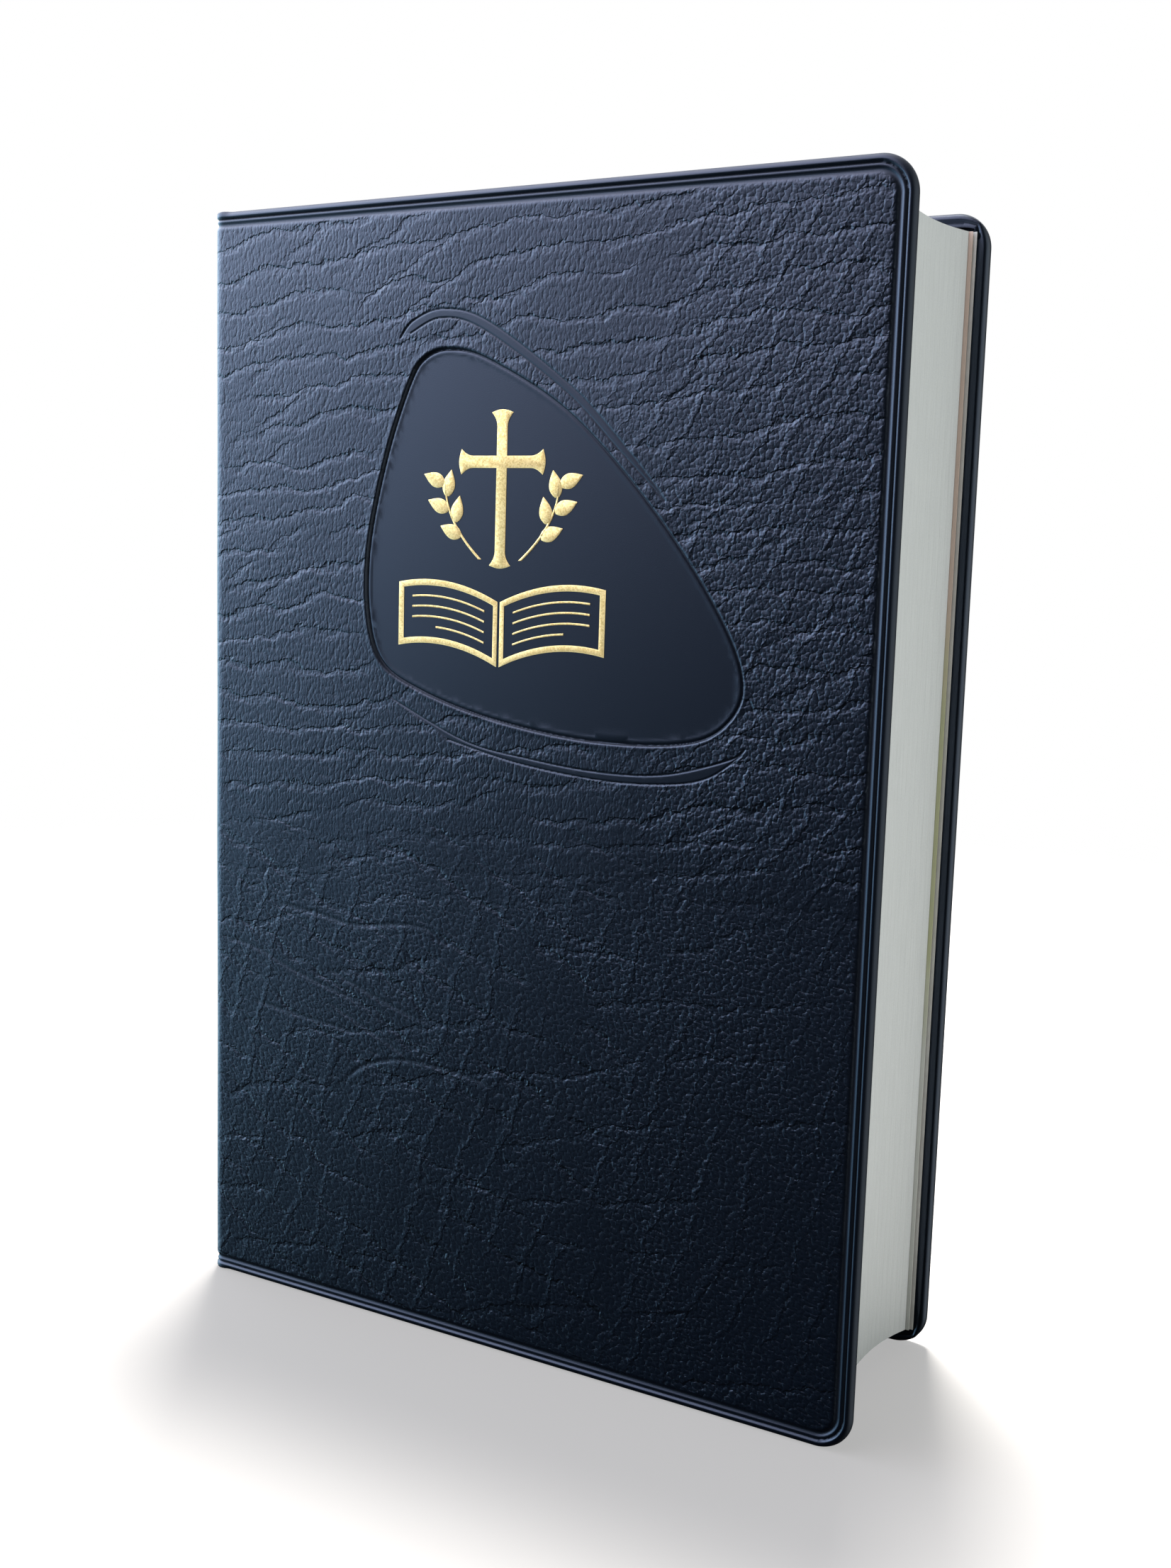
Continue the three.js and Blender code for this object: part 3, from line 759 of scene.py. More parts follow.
# Deep folds pressed into the sheet by handling, from the spine towards the tail.
folds = {
    "lines": [
        [(-68.0, 70.1), (-58.7, 69.0), (-48.6, 65.6), (-38.0, 63.0), (-30.0, 60.5)],
        [(-41.0, 67.4), (-34.3, 65.1), (-25.8, 62.4), (-15.5, 59.8)],
        [(-41.0, 61.0), (-34.2, 58.1), (-25.7, 54.7), (-21.5, 52.6)],
        [(-37.5, 45.0), (-31.9, 49.6), (-23.5, 52.2), (-13.2, 52.2), (-4.3, 50.8), (4.0, 48.0)],
        [(-60.0, 58.4), (-49.0, 57.1), (-39.7, 56.3), (-32.0, 55.2)],
        [(-56.0, 78.8), (-44.2, 77.9), (-34.5, 76.8), (-23.0, 78.4), (-13.0, 77.6)],
    ],
    "depth": 0.12,
    "width": 0.26,
    "raise": 0.12,    # of the depth, beside the fold
    "shade": 0.35,
}


def hingeTangent():
    gap = case["spineRadius"] - case["hingeRadius"]
    angle = math.asin((case["halfDepth"] - case["hingeRadius"]) / gap)
    return angle, case["spineCentre"] - gap * math.cos(angle)


hingeAngle, hingeStart = hingeTangent()
hingeLength = case["hingeRadius"] * (math.pi / 2 - hingeAngle)
seamU = hingeStart - hingeLength - case["spineRadius"] * (hingeAngle - case["seamAngle"])
spineMiddleU = seamU - case["spineRadius"] * case["seamAngle"]


def wrapPath(u):
    # The outer line of the case seen from the head: cover, hinge corner, then the rounded spine.
    u = np.asarray(u, float)
    turn = np.clip((hingeStart - u) / case["hingeRadius"], 0, math.pi / 2 - hingeAngle)
    beyond = np.maximum(hingeStart - hingeLength - u, 0)
    onSpine = beyond > 0
    angle = hingeAngle - beyond / case["spineRadius"]
    nx = np.where(onSpine, -np.cos(angle), -np.sin(turn))
    ny = np.where(onSpine, -np.sin(angle), -np.cos(turn))
    x = hingeStart + case["hingeRadius"] * nx
    y = case["hingeRadius"] - case["halfDepth"] + case["hingeRadius"] * ny
    x = np.where(u >= hingeStart, u, x)
    x = np.where(onSpine, case["spineCentre"] + case["spineRadius"] * nx, x)
    y = np.where(onSpine, case["spineRadius"] * ny, y)
    return x, y, nx, ny


def roundCorners(u, v):
    radius = case["cornerRadius"]
    middle = case["foreX"] - radius
    for end, level in ((1, case["headZ"] - radius), (-1, radius)):
        a = (u - middle) / radius
        b = end * (v - level) / radius
        corner = (a > 0) & (b > 0)
        a2 = a * np.sqrt(np.clip(1 - b * b / 2, 0, 1))
        b2 = b * np.sqrt(np.clip(1 - a * a / 2, 0, 1))
        u = np.where(corner, middle + radius * a2, u)
        v = np.where(corner, level + end * radius * b2, v)
    return u, v


def edgeDistance(u, v):
    radius = case["cornerRadius"]
    middle = case["foreX"] - radius
    distance = np.minimum(np.minimum(v, case["headZ"] - v), case["foreX"] - u)
    for end, level in ((1, case["headZ"] - radius), (-1, radius)):
        corner = (u > middle) & (end * (v - level) > 0)
        distance = np.where(corner, radius - np.hypot(u - middle, v - level), distance)
    return np.maximum(distance, 0)


def thicknessAt(u):
    thin = case["hingeThickness"]
    return thin + (case["coverThickness"] - thin) * smoothstep(*case["thickensFrom"], u)


def wander(u, v, size, seed):
    # A smooth wandering value near zero, from a few crossing waves.
    random = np.random.default_rng(seed)
    total = np.zeros(len(u))
    for _ in range(7):
        angle, phase, stretch = random.uniform(0, 2 * math.pi, 2).tolist() + [random.uniform(0.6, 1.8)]
        total += np.sin((u * math.cos(angle) + v * math.sin(angle)) * 2 * math.pi / (size * stretch) + phase)
    return total / 7


def onCover(u, v):
    # Places measured from the middle of the cover, as the panel and the folds are.
    return np.stack([u - case["middleX"], v], axis=1)


def featureDistance(u, v, withPanel, withFolds):
    # Distance to the nearest fine line, to choose where the sheet needs small faces.
    lines = [(spline(line), False) for line in folds["lines"]] if withFolds else []
    if withPanel:
        lines.append((spline(panel["outline"], closed=True), True))
        lines += [(spline(line), False) for band in panel["bands"] for line in band]
    points = onCover(u, v)
    nearest = np.full(len(points), 1e9)
    for line, closed in lines:
        nearest = np.minimum(nearest, lineDistance(points, line, closed)[0])
    return nearest


def edgeRoll(distance, half):
    # How far the round edge of a sheet of this half thickness falls away.
    return half - np.sqrt(np.clip(half ** 2 - np.clip(half - distance, 0, None) ** 2, 0, None))


def rimMasks(distance):
    # Where the grain shows, and where the lines pressed beside the bead are darkened with painted shade.
    line = rim["linePaintedShade"] * bell(distance, *rim["line"])
    groove = rim["groovePaintedShade"] * bell(distance, *rim["groovePaintedShadeBand"])
    return smoothstep(*rim["grainFrom"], distance), line + groove


def rimLines(distance):
    line = rim["lineDepth"] * bell(distance, *rim["line"])
    return line + rim["grooveDepth"] * bell(distance, *rim["groove"])


def pressPanel(points, height, grain, groove):
    # The smooth panel and its bands; the last mask returned is where the panel lies.
    outline = spline(panel["outline"], closed=True)
    gap = lineDistance(points, outline, closed=True)[0]
    inner = np.where(insideLine(points, outline), gap, -gap)
    covered = smoothstep(-0.10, 0.12, inner)
    height = height - panel["depth"] * smoothstep(-0.12, 0.34, inner)
    height -= panel["lineDepth"] * bell(inner, 0.14, 0.17)
    height += panel["innerRise"] * bell(inner, 0.72, 0.20)
    height += panel["outerRise"] * bell(inner, -0.45, 0.25)
    # Painted shade along the panel's outline groove.
    groove = np.maximum(groove, 0.97 * bell(inner, 0.12, 0.19))
    grain = grain * (1 - covered) * (1 - 0.5 * bell(inner, -0.3, 0.25))
    for outer, inside in panel["bands"]:
        outerLine, insideBand = spline(outer), spline(inside)
        gapOuter, share = lineDistance(points, outerLine)
        gapInner = lineDistance(points, insideBand)[0]
        within = insideLine(points, np.concatenate([outerLine, insideBand[::-1]])).astype(float)
        fade = smoothstep(0.0, 0.06, share) * (1 - smoothstep(0.95, 1.0, share))
        lines = np.maximum(bell(gapOuter, 0, 0.16) * fade, bell(gapInner, 0, 0.14))
        height -= panel["bandDepth"] * within + panel["bandLineDepth"] * lines
        # Painted shade along the band's pressed lines.
        groove = np.maximum(groove, 0.8 * lines)
        grain = grain * (1 - within) * (1 - 0.7 * lines)
    return height, grain, groove, covered


def surfaceDetail(u, v, withPanel):
    # Height of the outer face above the case's flat outer plane, with the grain mask and the groove mask,
    # which carries painted shade.
    distance = edgeDistance(u, v)
    falls, fallen, rises, risen = rim["step"]
    height = -edgeRoll(distance, thicknessAt(u) / 2) - rimLines(distance)
    inStep = smoothstep(falls, fallen, distance) * (1 - smoothstep(rises, risen, distance))
    height -= rim["stepDepth"] * inStep
    grain, groove = rimMasks(distance)
    # Painted shade: the outermost roll of the edge, which faces away from the light, is darkened.
    groove = np.maximum(groove, rim["outsidePaintedShade"] * (1 - smoothstep(*rim["outsidePaintedShadeFades"], distance)))
    swelling = swell["cover"] * wander(u, v, swell["size"], swell["seed"]) * grain
    points = onCover(u, v)
    covered = np.zeros(len(u))
    if withPanel:
        height, grain, groove, covered = pressPanel(points, height, grain, groove)
    height += swelling * (1 - covered)
    for line in folds["lines"]:
        gap, share = lineDistance(points, spline(line))
        fade = smoothstep(0.0, 0.15, share) * (1 - smoothstep(0.7, 1.0, share)) * (1 - covered)
        crease = bell(gap, 0, folds["width"]) * fade
        height -= folds["depth"] * crease
        height += folds["raise"] * folds["depth"] * bell(gap, 0.8, 0.4) * fade
        # Painted shade in the fold.
        groove = np.maximum(groove, folds["shade"] * crease)
    return height, grain, groove


def steps(*stretches):
    # Grid lines from stretches of (from, to, spacing).
    values = []
    for low, high, spacing in stretches:
        count = max(1, round((high - low) / spacing))
        values += list(np.linspace(low, high, count, endpoint=False))
    return np.array(values + [stretches[-1][1]])


def addSheetGrid(name, columns, rows):
    bpy.ops.object.select_all(action="DESELECT")
    bpy.ops.mesh.primitive_grid_add(x_subdivisions=len(columns) - 1, y_subdivisions=len(rows) - 1, size=2)
    sheet = bpy.context.object
    sheet.name = name
    points = readPoints(sheet.data)
    u = np.interp(points[:, 0], np.linspace(-1, 1, len(columns)), columns)
    v = np.interp(points[:, 1], np.linspace(-1, 1, len(rows)), rows)
    writePoints(sheet.data, np.stack([u, v, np.zeros(len(u))], axis=1))
    return sheet


def refineNearLines(sheet, withPanel, withFolds, reach):
    mesh = sheet.data
    centres = np.empty(len(mesh.polygons) * 3)
    mesh.polygons.foreach_get("center", centres)
    centres = centres.reshape(-1, 3)
    chooseFaces(sheet, featureDistance(centres[:, 0], centres[:, 1], withPanel, withFolds) < reach)
    bpy.ops.mesh.subdivide(number_cuts=2)
    bpy.ops.object.mode_set(mode="OBJECT")


def readRings(mesh):
    rings = np.empty(len(mesh.vertices), np.int32)
    mesh.attributes["ring"].data.foreach_get("value", rings)
    return rings


def addRings(sheet, count):
    # Extrudes the open edge of the sheet again and again, numbering the rings, then closes the last one.
    makeActive(sheet)
    mesh = sheet.data
    mesh.attributes.new("ring", "INT", "POINT")
    bpy.ops.object.mode_set(mode="EDIT")
    bpy.ops.mesh.select_mode(type="EDGE")
    bpy.ops.mesh.select_all(action="DESELECT")
    bpy.ops.mesh.select_non_manifold()
    for number in range(1, count + 1):
        bpy.ops.mesh.extrude_edges_move()
        bpy.ops.object.mode_set(mode="OBJECT")
        rings = readRings(mesh)
        rings[selectedPoints(mesh)] = number
        mesh.attributes["ring"].data.foreach_set("value", rings)
        bpy.ops.object.mode_set(mode="EDIT")
    bpy.ops.mesh.edge_face_add()
    bpy.ops.object.mode_set(mode="OBJECT")
    rings = readRings(mesh)
    mesh.attributes.remove(mesh.attributes["ring"])
    return rings


def fixNormals(piece):
    makeActive(piece)
    bpy.ops.object.mode_set(mode="EDIT")
    bpy.ops.mesh.select_all(action="SELECT")
    bpy.ops.mesh.normals_make_consistent(inside=False)
    bpy.ops.object.mode_set(mode="OBJECT")


# Face sizes of the cover sheets, how far from a fine line the faces are small, and the sheet's inner side:
# inset from the edges, depth below the outer face, and inset from the seam.
coverSheet = {
    "step": 1.1,
    "hingeStep": 0.6,
    "edgeStep": 0.25,
    "hingeEnd": -62,
    "smallNear": 1.25,
    "smallestNear": 0.48,
    "rings": [(0.35, 2.12, 0.0), (0.85, 2.43, 0.9), (1.30, 2.50, 1.8), (1.75, 2.22, 2.8),
              (2.25, 2.46, 3.8), (2.58, 2.46, 4.8), (2.62, 0.95, 5.9)],
    "innerGrain": 0.1,
}


def makeCoverVinyl(name, side, withPanel):
    # A cover's outer vinyl: welded rim, pressed lines, and the hinge corner up to its seam on the spine.
    fore, head, radius = case["foreX"], case["headZ"], case["cornerRadius"]
    step, edgeStep, hingeEnd = coverSheet["step"], coverSheet["edgeStep"], coverSheet["hingeEnd"]
    columns = steps((seamU, hingeEnd, coverSheet["hingeStep"]), (hingeEnd, fore - radius, step),
                    (fore - radius, fore, edgeStep))
    rows = steps((0, radius, edgeStep), (radius, head - radius, step), (head - radius, head, edgeStep))
    sheet = addSheetGrid(name, columns, rows)
    refineNearLines(sheet, withPanel, True, coverSheet["smallNear"])
    if withPanel:
        refineNearLines(sheet, True, False, coverSheet["smallestNear"])

    rings = coverSheet["rings"]
    ring = addRings(sheet, len(rings))
    points = readPoints(sheet.data)
    u, v = points[:, 0].copy(), points[:, 1].copy()
    atSeam = (np.abs(u - seamU) < 1e-4) & (v > 1e-4) & (v < head - 1e-4)
    depth = np.zeros(len(u))
    for number, (inset, level, seamInset) in enumerate(rings, start=1):
        on = ring == number
        left = seamU + seamInset
        u[on] = left + (u[on] - seamU) * (fore - inset - left) / (fore - seamU)
        v[on] = inset + v[on] * (head - 2 * inset) / head
        isRim = on & ~atSeam
        share = thicknessAt(u[isRim]) / case["coverThickness"] if number < len(rings) else 1.0
        depth[isRim] = level * share
        depth[on & atSeam] = case["vinylThickness"]
    u, v = roundCorners(u, v)
    outer = ring == 0
    height, grain, groove = surfaceDetail(u, v, withPanel)
    offset = np.where(outer, height, -depth)
    x, y, nx, ny = wrapPath(u)
    x = x + nx * offset
    y = y + ny * offset
    writePoints(sheet.data, np.stack([x, -side * y, v], axis=1) * mm)
    uvU = u if side < 0 else 2 * spineMiddleU - u
    writeUv(sheet.data, np.stack([uvU, v], axis=1))
    writeAttribute(sheet.data, "grain", np.where(outer, grain, coverSheet["innerGrain"]))
    writeAttribute(sheet.data, "groove", np.where(outer, groove, 0.0))
    fixNormals(sheet)
    sheet.data.materials.append(finishes["vinyl"])
    smoothByAngle(sheet, 60)
    level = side * case["halfDepth"] * mm
    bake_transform(sheet)
    return sheet


# A grid sheet given a back by extrusion; the mask tells which points are the back's.
def addSlab(name, columns, rows):
    sheet = addSheetGrid(name, columns, rows)
    makeActive(sheet)
    mesh = sheet.data
    bpy.ops.object.mode_set(mode="EDIT")
    bpy.ops.mesh.select_mode(type="FACE")
    bpy.ops.mesh.select_all(action="SELECT")
    bpy.ops.mesh.extrude_region_move()
    bpy.ops.object.mode_set(mode="OBJECT")
    points = readPoints(mesh)
    return sheet, points[:, 0].copy(), points[:, 1].copy(), selectedPoints(mesh)


def makeSpineVinyl():
    spine = {
        "seamGap": 0.03, "step": 0.9, "edgeStep": 0.25, "edge": 4,
        "weldedTo": (1.6, 2.6), "innerRoll": 0.5,
    }
    head, edge = case["headZ"], spine["edge"]
    step, edgeStep = spine["step"], spine["edgeStep"]
    reach = 2 * case["spineRadius"] * case["seamAngle"]
    columns = steps((seamU - reach + spine["seamGap"], seamU - spine["seamGap"], step))
    rows = steps((0, edge, edgeStep), (edge, head - edge, step), (head - edge, head, edgeStep))
    sheet, u, v, isBack = addSlab("spine_vinyl", columns, rows)
    distance = np.minimum(v, head - v)
    roll = edgeRoll(distance, case["hingeThickness"] / 2)
    grain, groove = rimMasks(distance)
    height = -roll - rimLines(distance) + swell["spine"] * wander(u, v, swell["size"], swell["seed"]) * grain
    welded = 1 - smoothstep(*spine["weldedTo"], distance)
    inner = -case["vinylThickness"] - (case["hingeThickness"] - case["vinylThickness"]) * welded
    inner += spine["innerRoll"] * roll
    angle = case["seamAngle"] - (seamU - u) / case["spineRadius"]
    radius = case["spineRadius"] + np.where(isBack, inner, height)
    x = case["spineCentre"] - radius * np.cos(angle)
    y = -radius * np.sin(angle)
    writePoints(sheet.data, np.stack([x, y, v], axis=1) * mm)
    writeUv(sheet.data, np.stack([u, v], axis=1))
    writeAttribute(sheet.data, "grain", np.where(isBack, coverSheet["innerGrain"], grain))
    writeAttribute(sheet.data, "groove", np.where(isBack, 0.0, groove))
    fixNormals(sheet)
    sheet.data.materials.append(finishes["vinyl"])
    finishPiece(sheet, "text_block", ["spine_skin"], 60)


frontVinyl = makeCoverVinyl("front_cover_vinyl", -1, True)
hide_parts("front_cover_skin")
print("front cover vinyl:", len(frontVinyl.data.polygons), "faces")
backVinyl = makeCoverVinyl("back_cover_vinyl", 1, False)
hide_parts("back_cover_skin")
makeSpineVinyl()
print("case vinyl ready")


pages = {
    "foldRadius": 48.15,
    "foreEdge": blockHigh.x,
    "hollow": 3.6,
    "ledge": 2.4,    # the stretch beside the front cover where the hollow has ended
    "ledgeShadowFades": (-16.4, -16.0),
    "frontPower": 5,
    "rearPower": 2.4,
    "low": blockLow.z,
    "high": blockHigh.z,
    "stackHalf": -blockLow.y + 0.02,    # the CAD model's first section starts 0.02 inside the stack
    "sectionGap": 0.005,
    "foldRows": (0.22, 15), "outerRows": 10,    # close rows over the share that bends, then wide ones
    "sectionCount": 24,
    "bendStart": -66.0,
    "bendEnd": -40.0,
}


def foreEdgeAt(y):
    power = np.where(y < 0, pages["frontPower"], pages["rearPower"])
    reach = np.where(y < 0, pages["stackHalf"] - pages["ledge"], pages["stackHalf"])
    share = np.minimum(np.abs(y) / reach, 1)
    return pages["foreEdge"] - pages["hollow"] * (1 - share ** power)


def foldAt(y):
    return case["spineCentre"] - np.sqrt(pages["foldRadius"] ** 2 - y ** 2)


# Page faces keep the printed side's pattern; the cut edges get their own patterns and material.
def mapLeafFaces(sheet, isBack, x, y, z):
    mesh = sheet.data
    uv = np.empty((len(mesh.loops), 2))
    for polygon in mesh.polygons:
        corners = list(polygon.vertices)
        loops = list(polygon.loop_indices)
        isEdge = isBack[corners].any() and not isBack[corners].all()
        polygon.material_index = 1 if isEdge else 0
        flat = np.ptp(z[corners]) < 1e-3
        across = y[corners] if isEdge else x[corners]
        along = x[corners] if isEdge and flat else z[corners]
        uv[loops, 0] = across
        uv[loops, 1] = along
    writeCornerUv(mesh, uv)


def makeLeaves(name, low, high, reach, finish, cut, node):
    bends, count = pages["foldRows"]
    share = np.concatenate([np.linspace(0, bends, count), np.linspace(bends, 1, pages["outerRows"])[1:]])
    rows = np.linspace(pages["low"], pages["high"], 13)
    sheet, across, z, isBack = addSlab(name, share, rows)
    y = np.where(isBack, high, low)
    start = foldAt(np.clip(y, -pages["stackHalf"], pages["stackHalf"]))
    end = foreEdgeAt(y) + reach
    x = start + (end - start) * across
    writePoints(sheet.data, np.stack([x, y, z], axis=1) * mm)
    mapLeafFaces(sheet, isBack, x, y, z)
    fixNormals(sheet)
    # The ledge mask, for the painted shadow of the front cover on the page edges.
    writeAttribute(sheet.data, "ledge", 1 - smoothstep(*pages["ledgeShadowFades"], y))
    sheet.data.materials.append(finish)
    sheet.data.materials.append(cut)
    smoothByAngle(sheet, 30)
    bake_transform(sheet)
    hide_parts(node)


def makePages():
    pitch = 2 * pages["stackHalf"] / pages["sectionCount"]
    gap = pages["sectionGap"]
    for index in range(pages["sectionCount"]):
        low = -pages["stackHalf"] + index * pitch
        label = "section_%02d" % (index + 1)
        makeLeaves(label + "_pages", low + gap, low + pitch - gap, 0, finishes["printedPage"],
                   finishes["pageEdge"], label)
    flyLow, flyHigh = boxMm("front_flyleaf")
    makeLeaves("front_flyleaf_sheet", flyLow.y, flyHigh.y, 0, finishes["endpaper"],
               finishes["pageEdge"], "front_flyleaf")
    mapLow, mapHigh = boxMm("back_map_leaf")
    makeLeaves("back_map_sheet", mapLow.y, mapHigh.y, mapHigh.x - pages["foreEdge"], finishes["mapPaper"],
               finishes["mapPaper"], "back_map_leaf")


def makeSpineGlue():
    glue = {"outer": 48.62, "inner": 48.2, "lump": 0.03, "lumpSize": 9}
    halfAngle = math.asin(pages["stackHalf"] / glue["outer"])
    columns = np.linspace(-halfAngle, halfAngle, 41)
    rows = np.linspace(pages["low"], pages["high"], 90)
    sheet, angle, z, isBack = addSlab("spine_glue", columns, rows)
    lumps = glue["lump"] * wander(angle * 50, z, glue["lumpSize"], 11)
    radius = np.where(isBack, glue["inner"], glue["outer"] - glue["lump"] + lumps)
    x = case["spineCentre"] - radius * np.cos(angle)
    writePoints(sheet.data, np.stack([x, radius * np.sin(angle), z], axis=1) * mm)
    fixNormals(sheet)
    sheet.data.materials.append(finishes["glue"])
    finishPiece(sheet, "text_block", ["glued_folds"])


def makeHeadband(node):
    low, high = boxMm(node)
    band = {
        "radius": 47.95, "halfDepth": 0.66, "heightMargin": 0.02, "sides": 18,
        "ridge": 0.05, "ridgePitch": 0.42,
        "endMargin": 0.004, "taperFrom": 0.012, "taperLength": 0.014,    # angles, in radians
    }
    halfHeight = (high.z - low.z) / 2 - band["heightMargin"]
    middle = (high.z + low.z) / 2
    halfAngle = math.asin(high.y / band["radius"]) - band["endMargin"]
    columns = np.linspace(-halfAngle, halfAngle, 261)
    rows = np.linspace(0, 2 * math.pi, band["sides"] + 1)
    sheet = addSheetGrid(node + "_woven", columns, rows)
    points = readPoints(sheet.data)
    angle, around = points[:, 0], points[:, 1]
    along = angle * band["radius"]
    ridge = 1 + band["ridge"] * np.sin(2 * math.pi * along / band["ridgePitch"] + around)
    towardEnd = np.clip((np.abs(angle) - halfAngle + band["taperFrom"]) / band["taperLength"], 0, 1)
    taper = np.sqrt(np.clip(1 - towardEnd ** 2, 0.02, 1))
    size = ridge * taper / (1 + band["ridge"])
    radius = band["radius"] + band["halfDepth"] * size * np.cos(around)
    height = middle + halfHeight * size * np.sin(around)
    x = case["spineCentre"] - radius * np.cos(angle)
    writePoints(sheet.data, np.stack([x, radius * np.sin(angle), height], axis=1) * mm)
    makeActive(sheet)
    bpy.ops.object.mode_set(mode="EDIT")
    bpy.ops.mesh.select_all(action="SELECT")
    bpy.ops.mesh.remove_doubles(threshold=1e-6)
    bpy.ops.mesh.select_all(action="SELECT")
    bpy.ops.mesh.fill_holes(sides=0)
    bpy.ops.object.mode_set(mode="OBJECT")
    fixNormals(sheet)
    sheet.data.materials.append(finishes["headband"])
    finishPiece(sheet, "text_block", [node])


makePages()
makeSpineGlue()
for node in ("headband_head", "headband_tail"):
    makeHeadband(node)
print("pages and spine glue ready")


# Gold emblem: a flared cross over an open book between two leafy sprigs.
emblem = {
    "middleX": case["middleX"] - 4,
    "back": -21.57,
    "front": -21.72,
    "rim": 0.16, "leafRim": 0.12, "bevel": 0.04,
    "crossHead": 172.0, "crossArm": 163.5, "crossFoot": 145.5, "armReach": 8.4,
    "barHalf": 1.05, "flare": 1.15, "flareLength": 2.4,
    "bookTail": 127.5, "bookHalf": 21.5, "pageRise": 11.5, "pageDip": 3.0, "pageSag": 0.62,
    "bookLine": 1.1, "bookGap": 0.012,
    "textRows": 4, "textHalf": 0.17, "textSpan": (0.14, 0.86), "shortTextEnd": 0.62,
    "sprigRoot": (4.2, 146.5), "sprigLean": 7.5, "sprigRise": 13.0,
    "leafCount": 5, "leafLength": 5.0, "leafHalf": 1.3, "leavesFrom": 0.3, "leafTurns": (0.95, -0.45),
    "stemHalf": 0.32, "stemLean": 0.25,
}


def setFoilPoints(piece, outline, levels):
    points = np.column_stack([outline[:, 0] + emblem["middleX"], levels, outline[:, 1]])
    writePoints(piece.data, points * mm)


# A filled outline: raised from the panel, with a bright bevelled rim inside its edge.
def addFoilPlate(outline, rim):
    outline = np.asarray(outline, float)
    bpy.ops.object.select_all(action="DESELECT")
    bpy.ops.mesh.primitive_circle_add(vertices=len(outline), radius=1, fill_type="NGON")
    plate = bpy.context.object
    setFoilPoints(plate, outline, np.full(len(outline), emblem["back"]))
    makeActive(plate)
    bpy.ops.object.mode_set(mode="EDIT")
    bpy.ops.mesh.select_mode(type="FACE")
    bpy.ops.mesh.select_all(action="SELECT")
    rise = (emblem["front"] + emblem["bevel"] - emblem["back"]) * mm
    bpy.ops.mesh.extrude_region_move(TRANSFORM_OT_translate={"value": (0, rise, 0)})
    bpy.ops.mesh.inset(thickness=rim * mm, depth=0)
    bpy.ops.transform.translate(value=(0, -emblem["bevel"] * mm, 0))
    bpy.ops.object.mode_set(mode="OBJECT")
    writeAttribute(plate.data, "rim", np.where(selectedPoints(plate.data), 0.0, 1.0))
    fixNormals(plate)
    return plate


# A strip between two lines of the same number of points; a closed one joins its ends.
def addFoilStrip(lineA, lineB, closed=False):
    lineA, lineB = np.asarray(lineA, float), np.asarray(lineB, float)
    if closed:
        lineA, lineB = np.vstack([lineA, lineA[:1]]), np.vstack([lineB, lineB[:1]])
    count = len(lineA)
    shares = np.array([0.0, 0.2, 0.8, 1.0])
    strip, along, share, isBack = addSlab("strip", np.arange(count, dtype=float), shares)
    order = np.arange(count)
    a = np.column_stack([np.interp(along, order, lineA[:, k]) for k in (0, 1)])
    b = np.column_stack([np.interp(along, order, lineB[:, k]) for k in (0, 1)])
    onEdge = (share < 0.1) | (share > 0.9)
    front = np.where(onEdge, emblem["front"] + emblem["bevel"], emblem["front"])
    level = np.where(isBack, emblem["back"], front)
    setFoilPoints(strip, a + (b - a) * share[:, None], level)
    writeAttribute(strip.data, "rim", onEdge.astype(float))
    if closed:
        atEnd = [all(along[k] in (0, count - 1) for k in polygon.vertices) for polygon in strip.data.polygons]
        chooseFaces(strip, atEnd)
        bpy.ops.mesh.delete(type="FACE")
        bpy.ops.mesh.select_all(action="SELECT")
        bpy.ops.mesh.remove_doubles(threshold=1e-7)
        bpy.ops.object.mode_set(mode="OBJECT")
    fixNormals(strip)
    return strip


def joinFoil(parts, name, node):
    bpy.ops.object.select_all(action="DESELECT")
    for part in parts:
        part.select_set(True)
    bpy.context.view_layer.objects.active = parts[0]
    if len(parts) > 1:
        bpy.ops.object.join()
    piece = bpy.context.view_layer.objects.active
    piece.name = name
    piece.data.materials.clear()
    piece.data.materials.append(finishes["foil"])
    finishPiece(piece, "front_cover", [node], 30)


def makeCross():
    middle = emblem["crossArm"]
    reaches = [emblem["armReach"], emblem["crossHead"] - middle,
               emblem["armReach"], middle - emblem["crossFoot"]]
    half, flare, step = emblem["barHalf"], emblem["flare"], emblem["flareLength"]
    outline = []
    for quarter, reach in enumerate(reaches):
        cosine, sine = math.cos(quarter * math.pi / 2), math.sin(quarter * math.pi / 2)
        side = [(half, -half)]
        for share in np.linspace(0, 1, 6):
            side.append((reach - step * (1 - share), -half - flare * share ** 2))
        tip = [(reach + 0.5 * math.cos(k * math.pi / 8), k / 4 * (half + flare)) for k in range(-3, 4)]
        other = [(x, -y) for x, y in side[:0:-1]]
        for x, y in side + tip + other:
            outline.append((x * cosine - y * sine, middle + x * sine + y * cosine))
    joinFoil([addFoilPlate(outline, emblem["rim"])], "emblem_cross", "foil_cross")


def pageCurve(side, lift, start, end, count=16):
    share = np.linspace(start, end, count)
    sag = emblem["pageDip"] * (4 * share * (1 - share) * emblem["pageSag"] + share)
    return np.column_stack([side * emblem["bookHalf"] * share, emblem["bookTail"] + lift + sag])


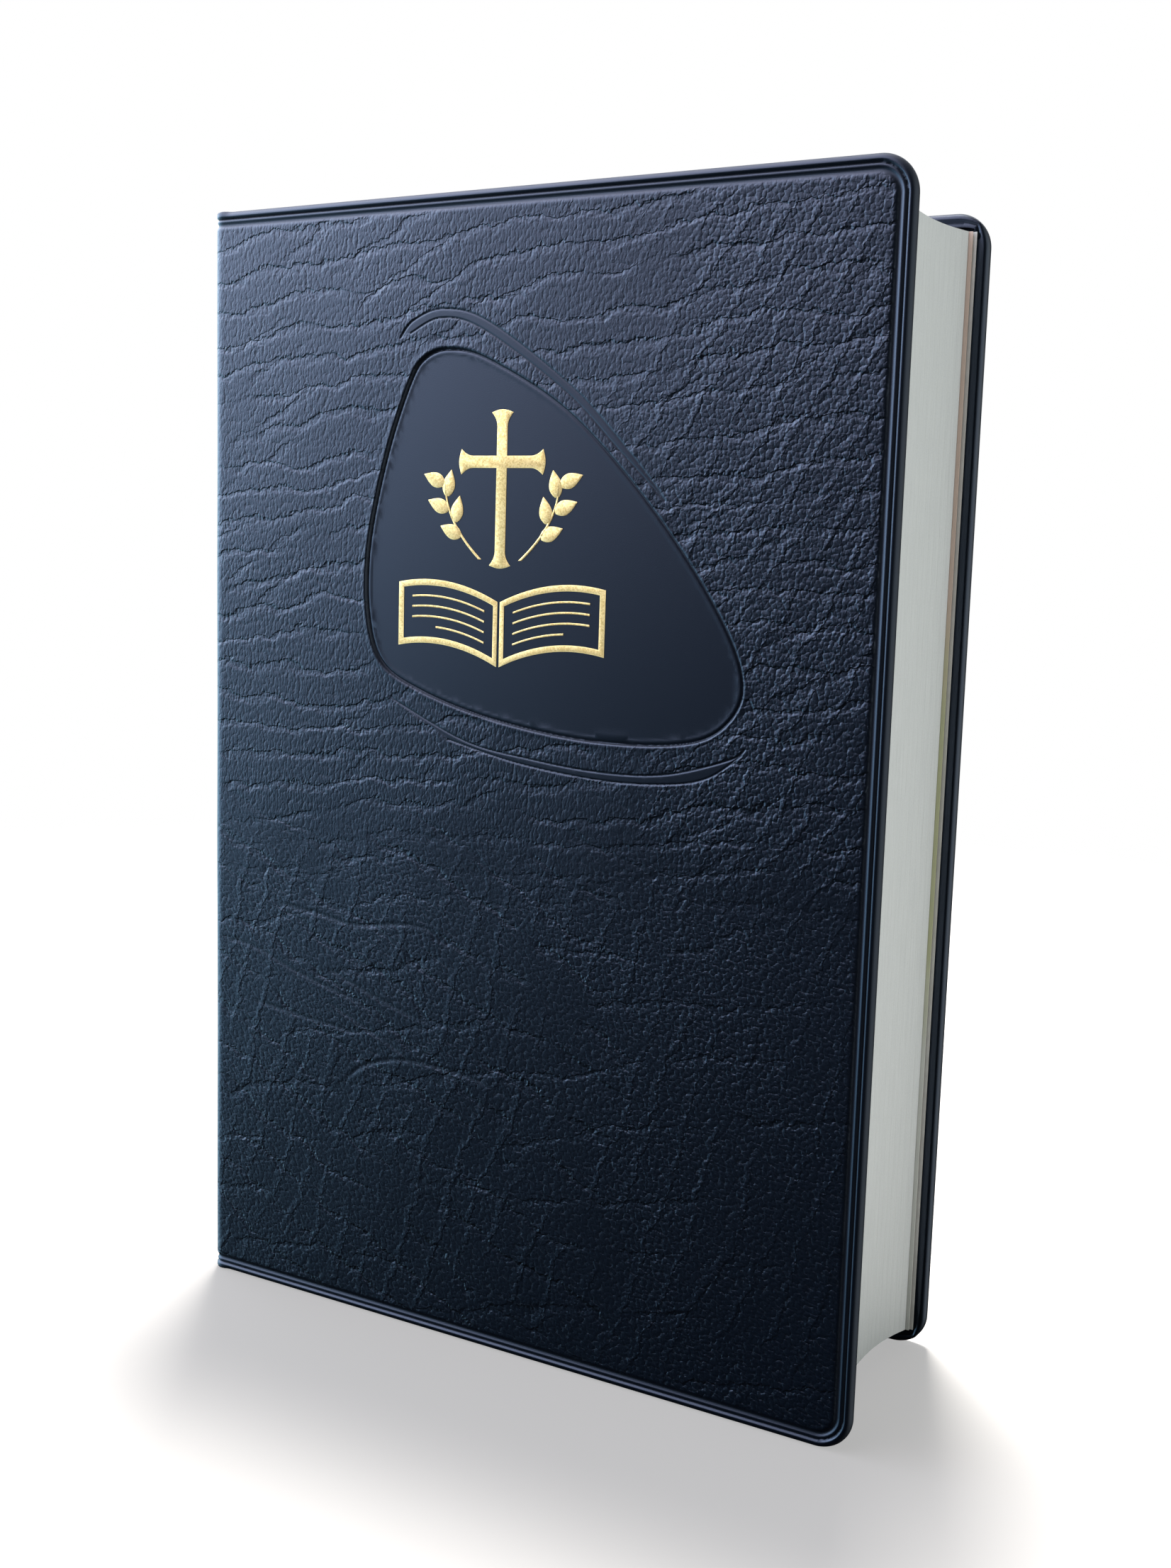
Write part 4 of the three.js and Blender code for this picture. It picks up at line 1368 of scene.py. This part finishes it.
def makeOpenBook():
    line, rise, start = emblem["bookLine"], emblem["pageRise"], emblem["bookGap"]
    inset = line / emblem["bookHalf"]
    innerStart = start + inset * 0.8
    textGap = (rise - 2 * line) / (emblem["textRows"] + 1)
    textStart, textEnd = emblem["textSpan"]
    half = emblem["textHalf"]
    parts = []
    for side in (-1, 1):
        outer = np.vstack([pageCurve(side, 0, start, 1), pageCurve(side, rise, 1, start)])
        inner = np.vstack([pageCurve(side, line, innerStart, 1 - inset),
                           pageCurve(side, rise - line, 1 - inset, innerStart)])
        parts.append(addFoilStrip(outer, inner, closed=True))
        for row in range(1, emblem["textRows"] + 1):
            lift = line + textGap * row
            end = textEnd if row > 1 else emblem["shortTextEnd"]
            lower, upper = (pageCurve(side, level, textStart, end) for level in (lift - half, lift + half))
            parts.append(addFoilStrip(lower, upper))
    joinFoil(parts, "emblem_open_book", "foil_open_book")


def makeSprig(side, name, node):
    rootX, rootZ = emblem["sprigRoot"]
    share = np.linspace(0, 1, 14)
    stem = np.column_stack([side * (rootX + emblem["sprigLean"] * (2 * share - share ** 2)),
                            rootZ + emblem["sprigRise"] * share])
    width = np.column_stack([emblem["stemHalf"] * (1 - 0.6 * share), 0 * share])
    parts = [addFoilStrip(stem - width, stem + width)]
    for index in range(emblem["leafCount"]):
        t = emblem["leavesFrom"] + (1 - emblem["leavesFrom"]) * index / (emblem["leafCount"] - 1)
        foot = np.array([np.interp(t, share, stem[:, 0]), np.interp(t, share, stem[:, 1])])
        turn = math.pi / 2 - side * emblem["leafTurns"][index % 2] - side * emblem["stemLean"]
        along = np.array([math.cos(turn), math.sin(turn)])
        across = np.array([-along[1], along[0]])
        places = np.linspace(0.06, 1, 12)
        curve = emblem["leafHalf"] * np.sin(math.pi * places ** 0.8)
        middle = foot + np.outer(places * emblem["leafLength"], along)
        left, right = middle + np.outer(curve, across), middle - np.outer(curve, across)
        parts.append(addFoilPlate(np.vstack([left[:-1], middle[-1:], right[-2::-1]]), emblem["leafRim"]))
    joinFoil(parts, name, node)


makeCross()
makeOpenBook()
makeSprig(-1, "emblem_sprig_left", "foil_sprig_left")
makeSprig(1, "emblem_sprig_right", "foil_sprig_right")
print("emblem ready")


# Pieces carried over from the CAD model, by finish.
carriedOver = {
    "board": ["front_cover_board", "back_cover_board", "spine_inlay"],
    "liner": ["front_cover_liner", "back_cover_liner"],
    "endpaper": ["front_paste_down", "back_paste_down"],
    "muslin": ["spine_gauze"],
    "thread": ["sewing_thread_1", "sewing_thread_2", "sewing_thread_3", "sewing_thread_4"],
}

for finish, nodes in carriedOver.items():
    for node in nodes:
        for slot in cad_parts[node].material_slots:
            slot.material = finishes[finish]
print("carried-over pieces finished")
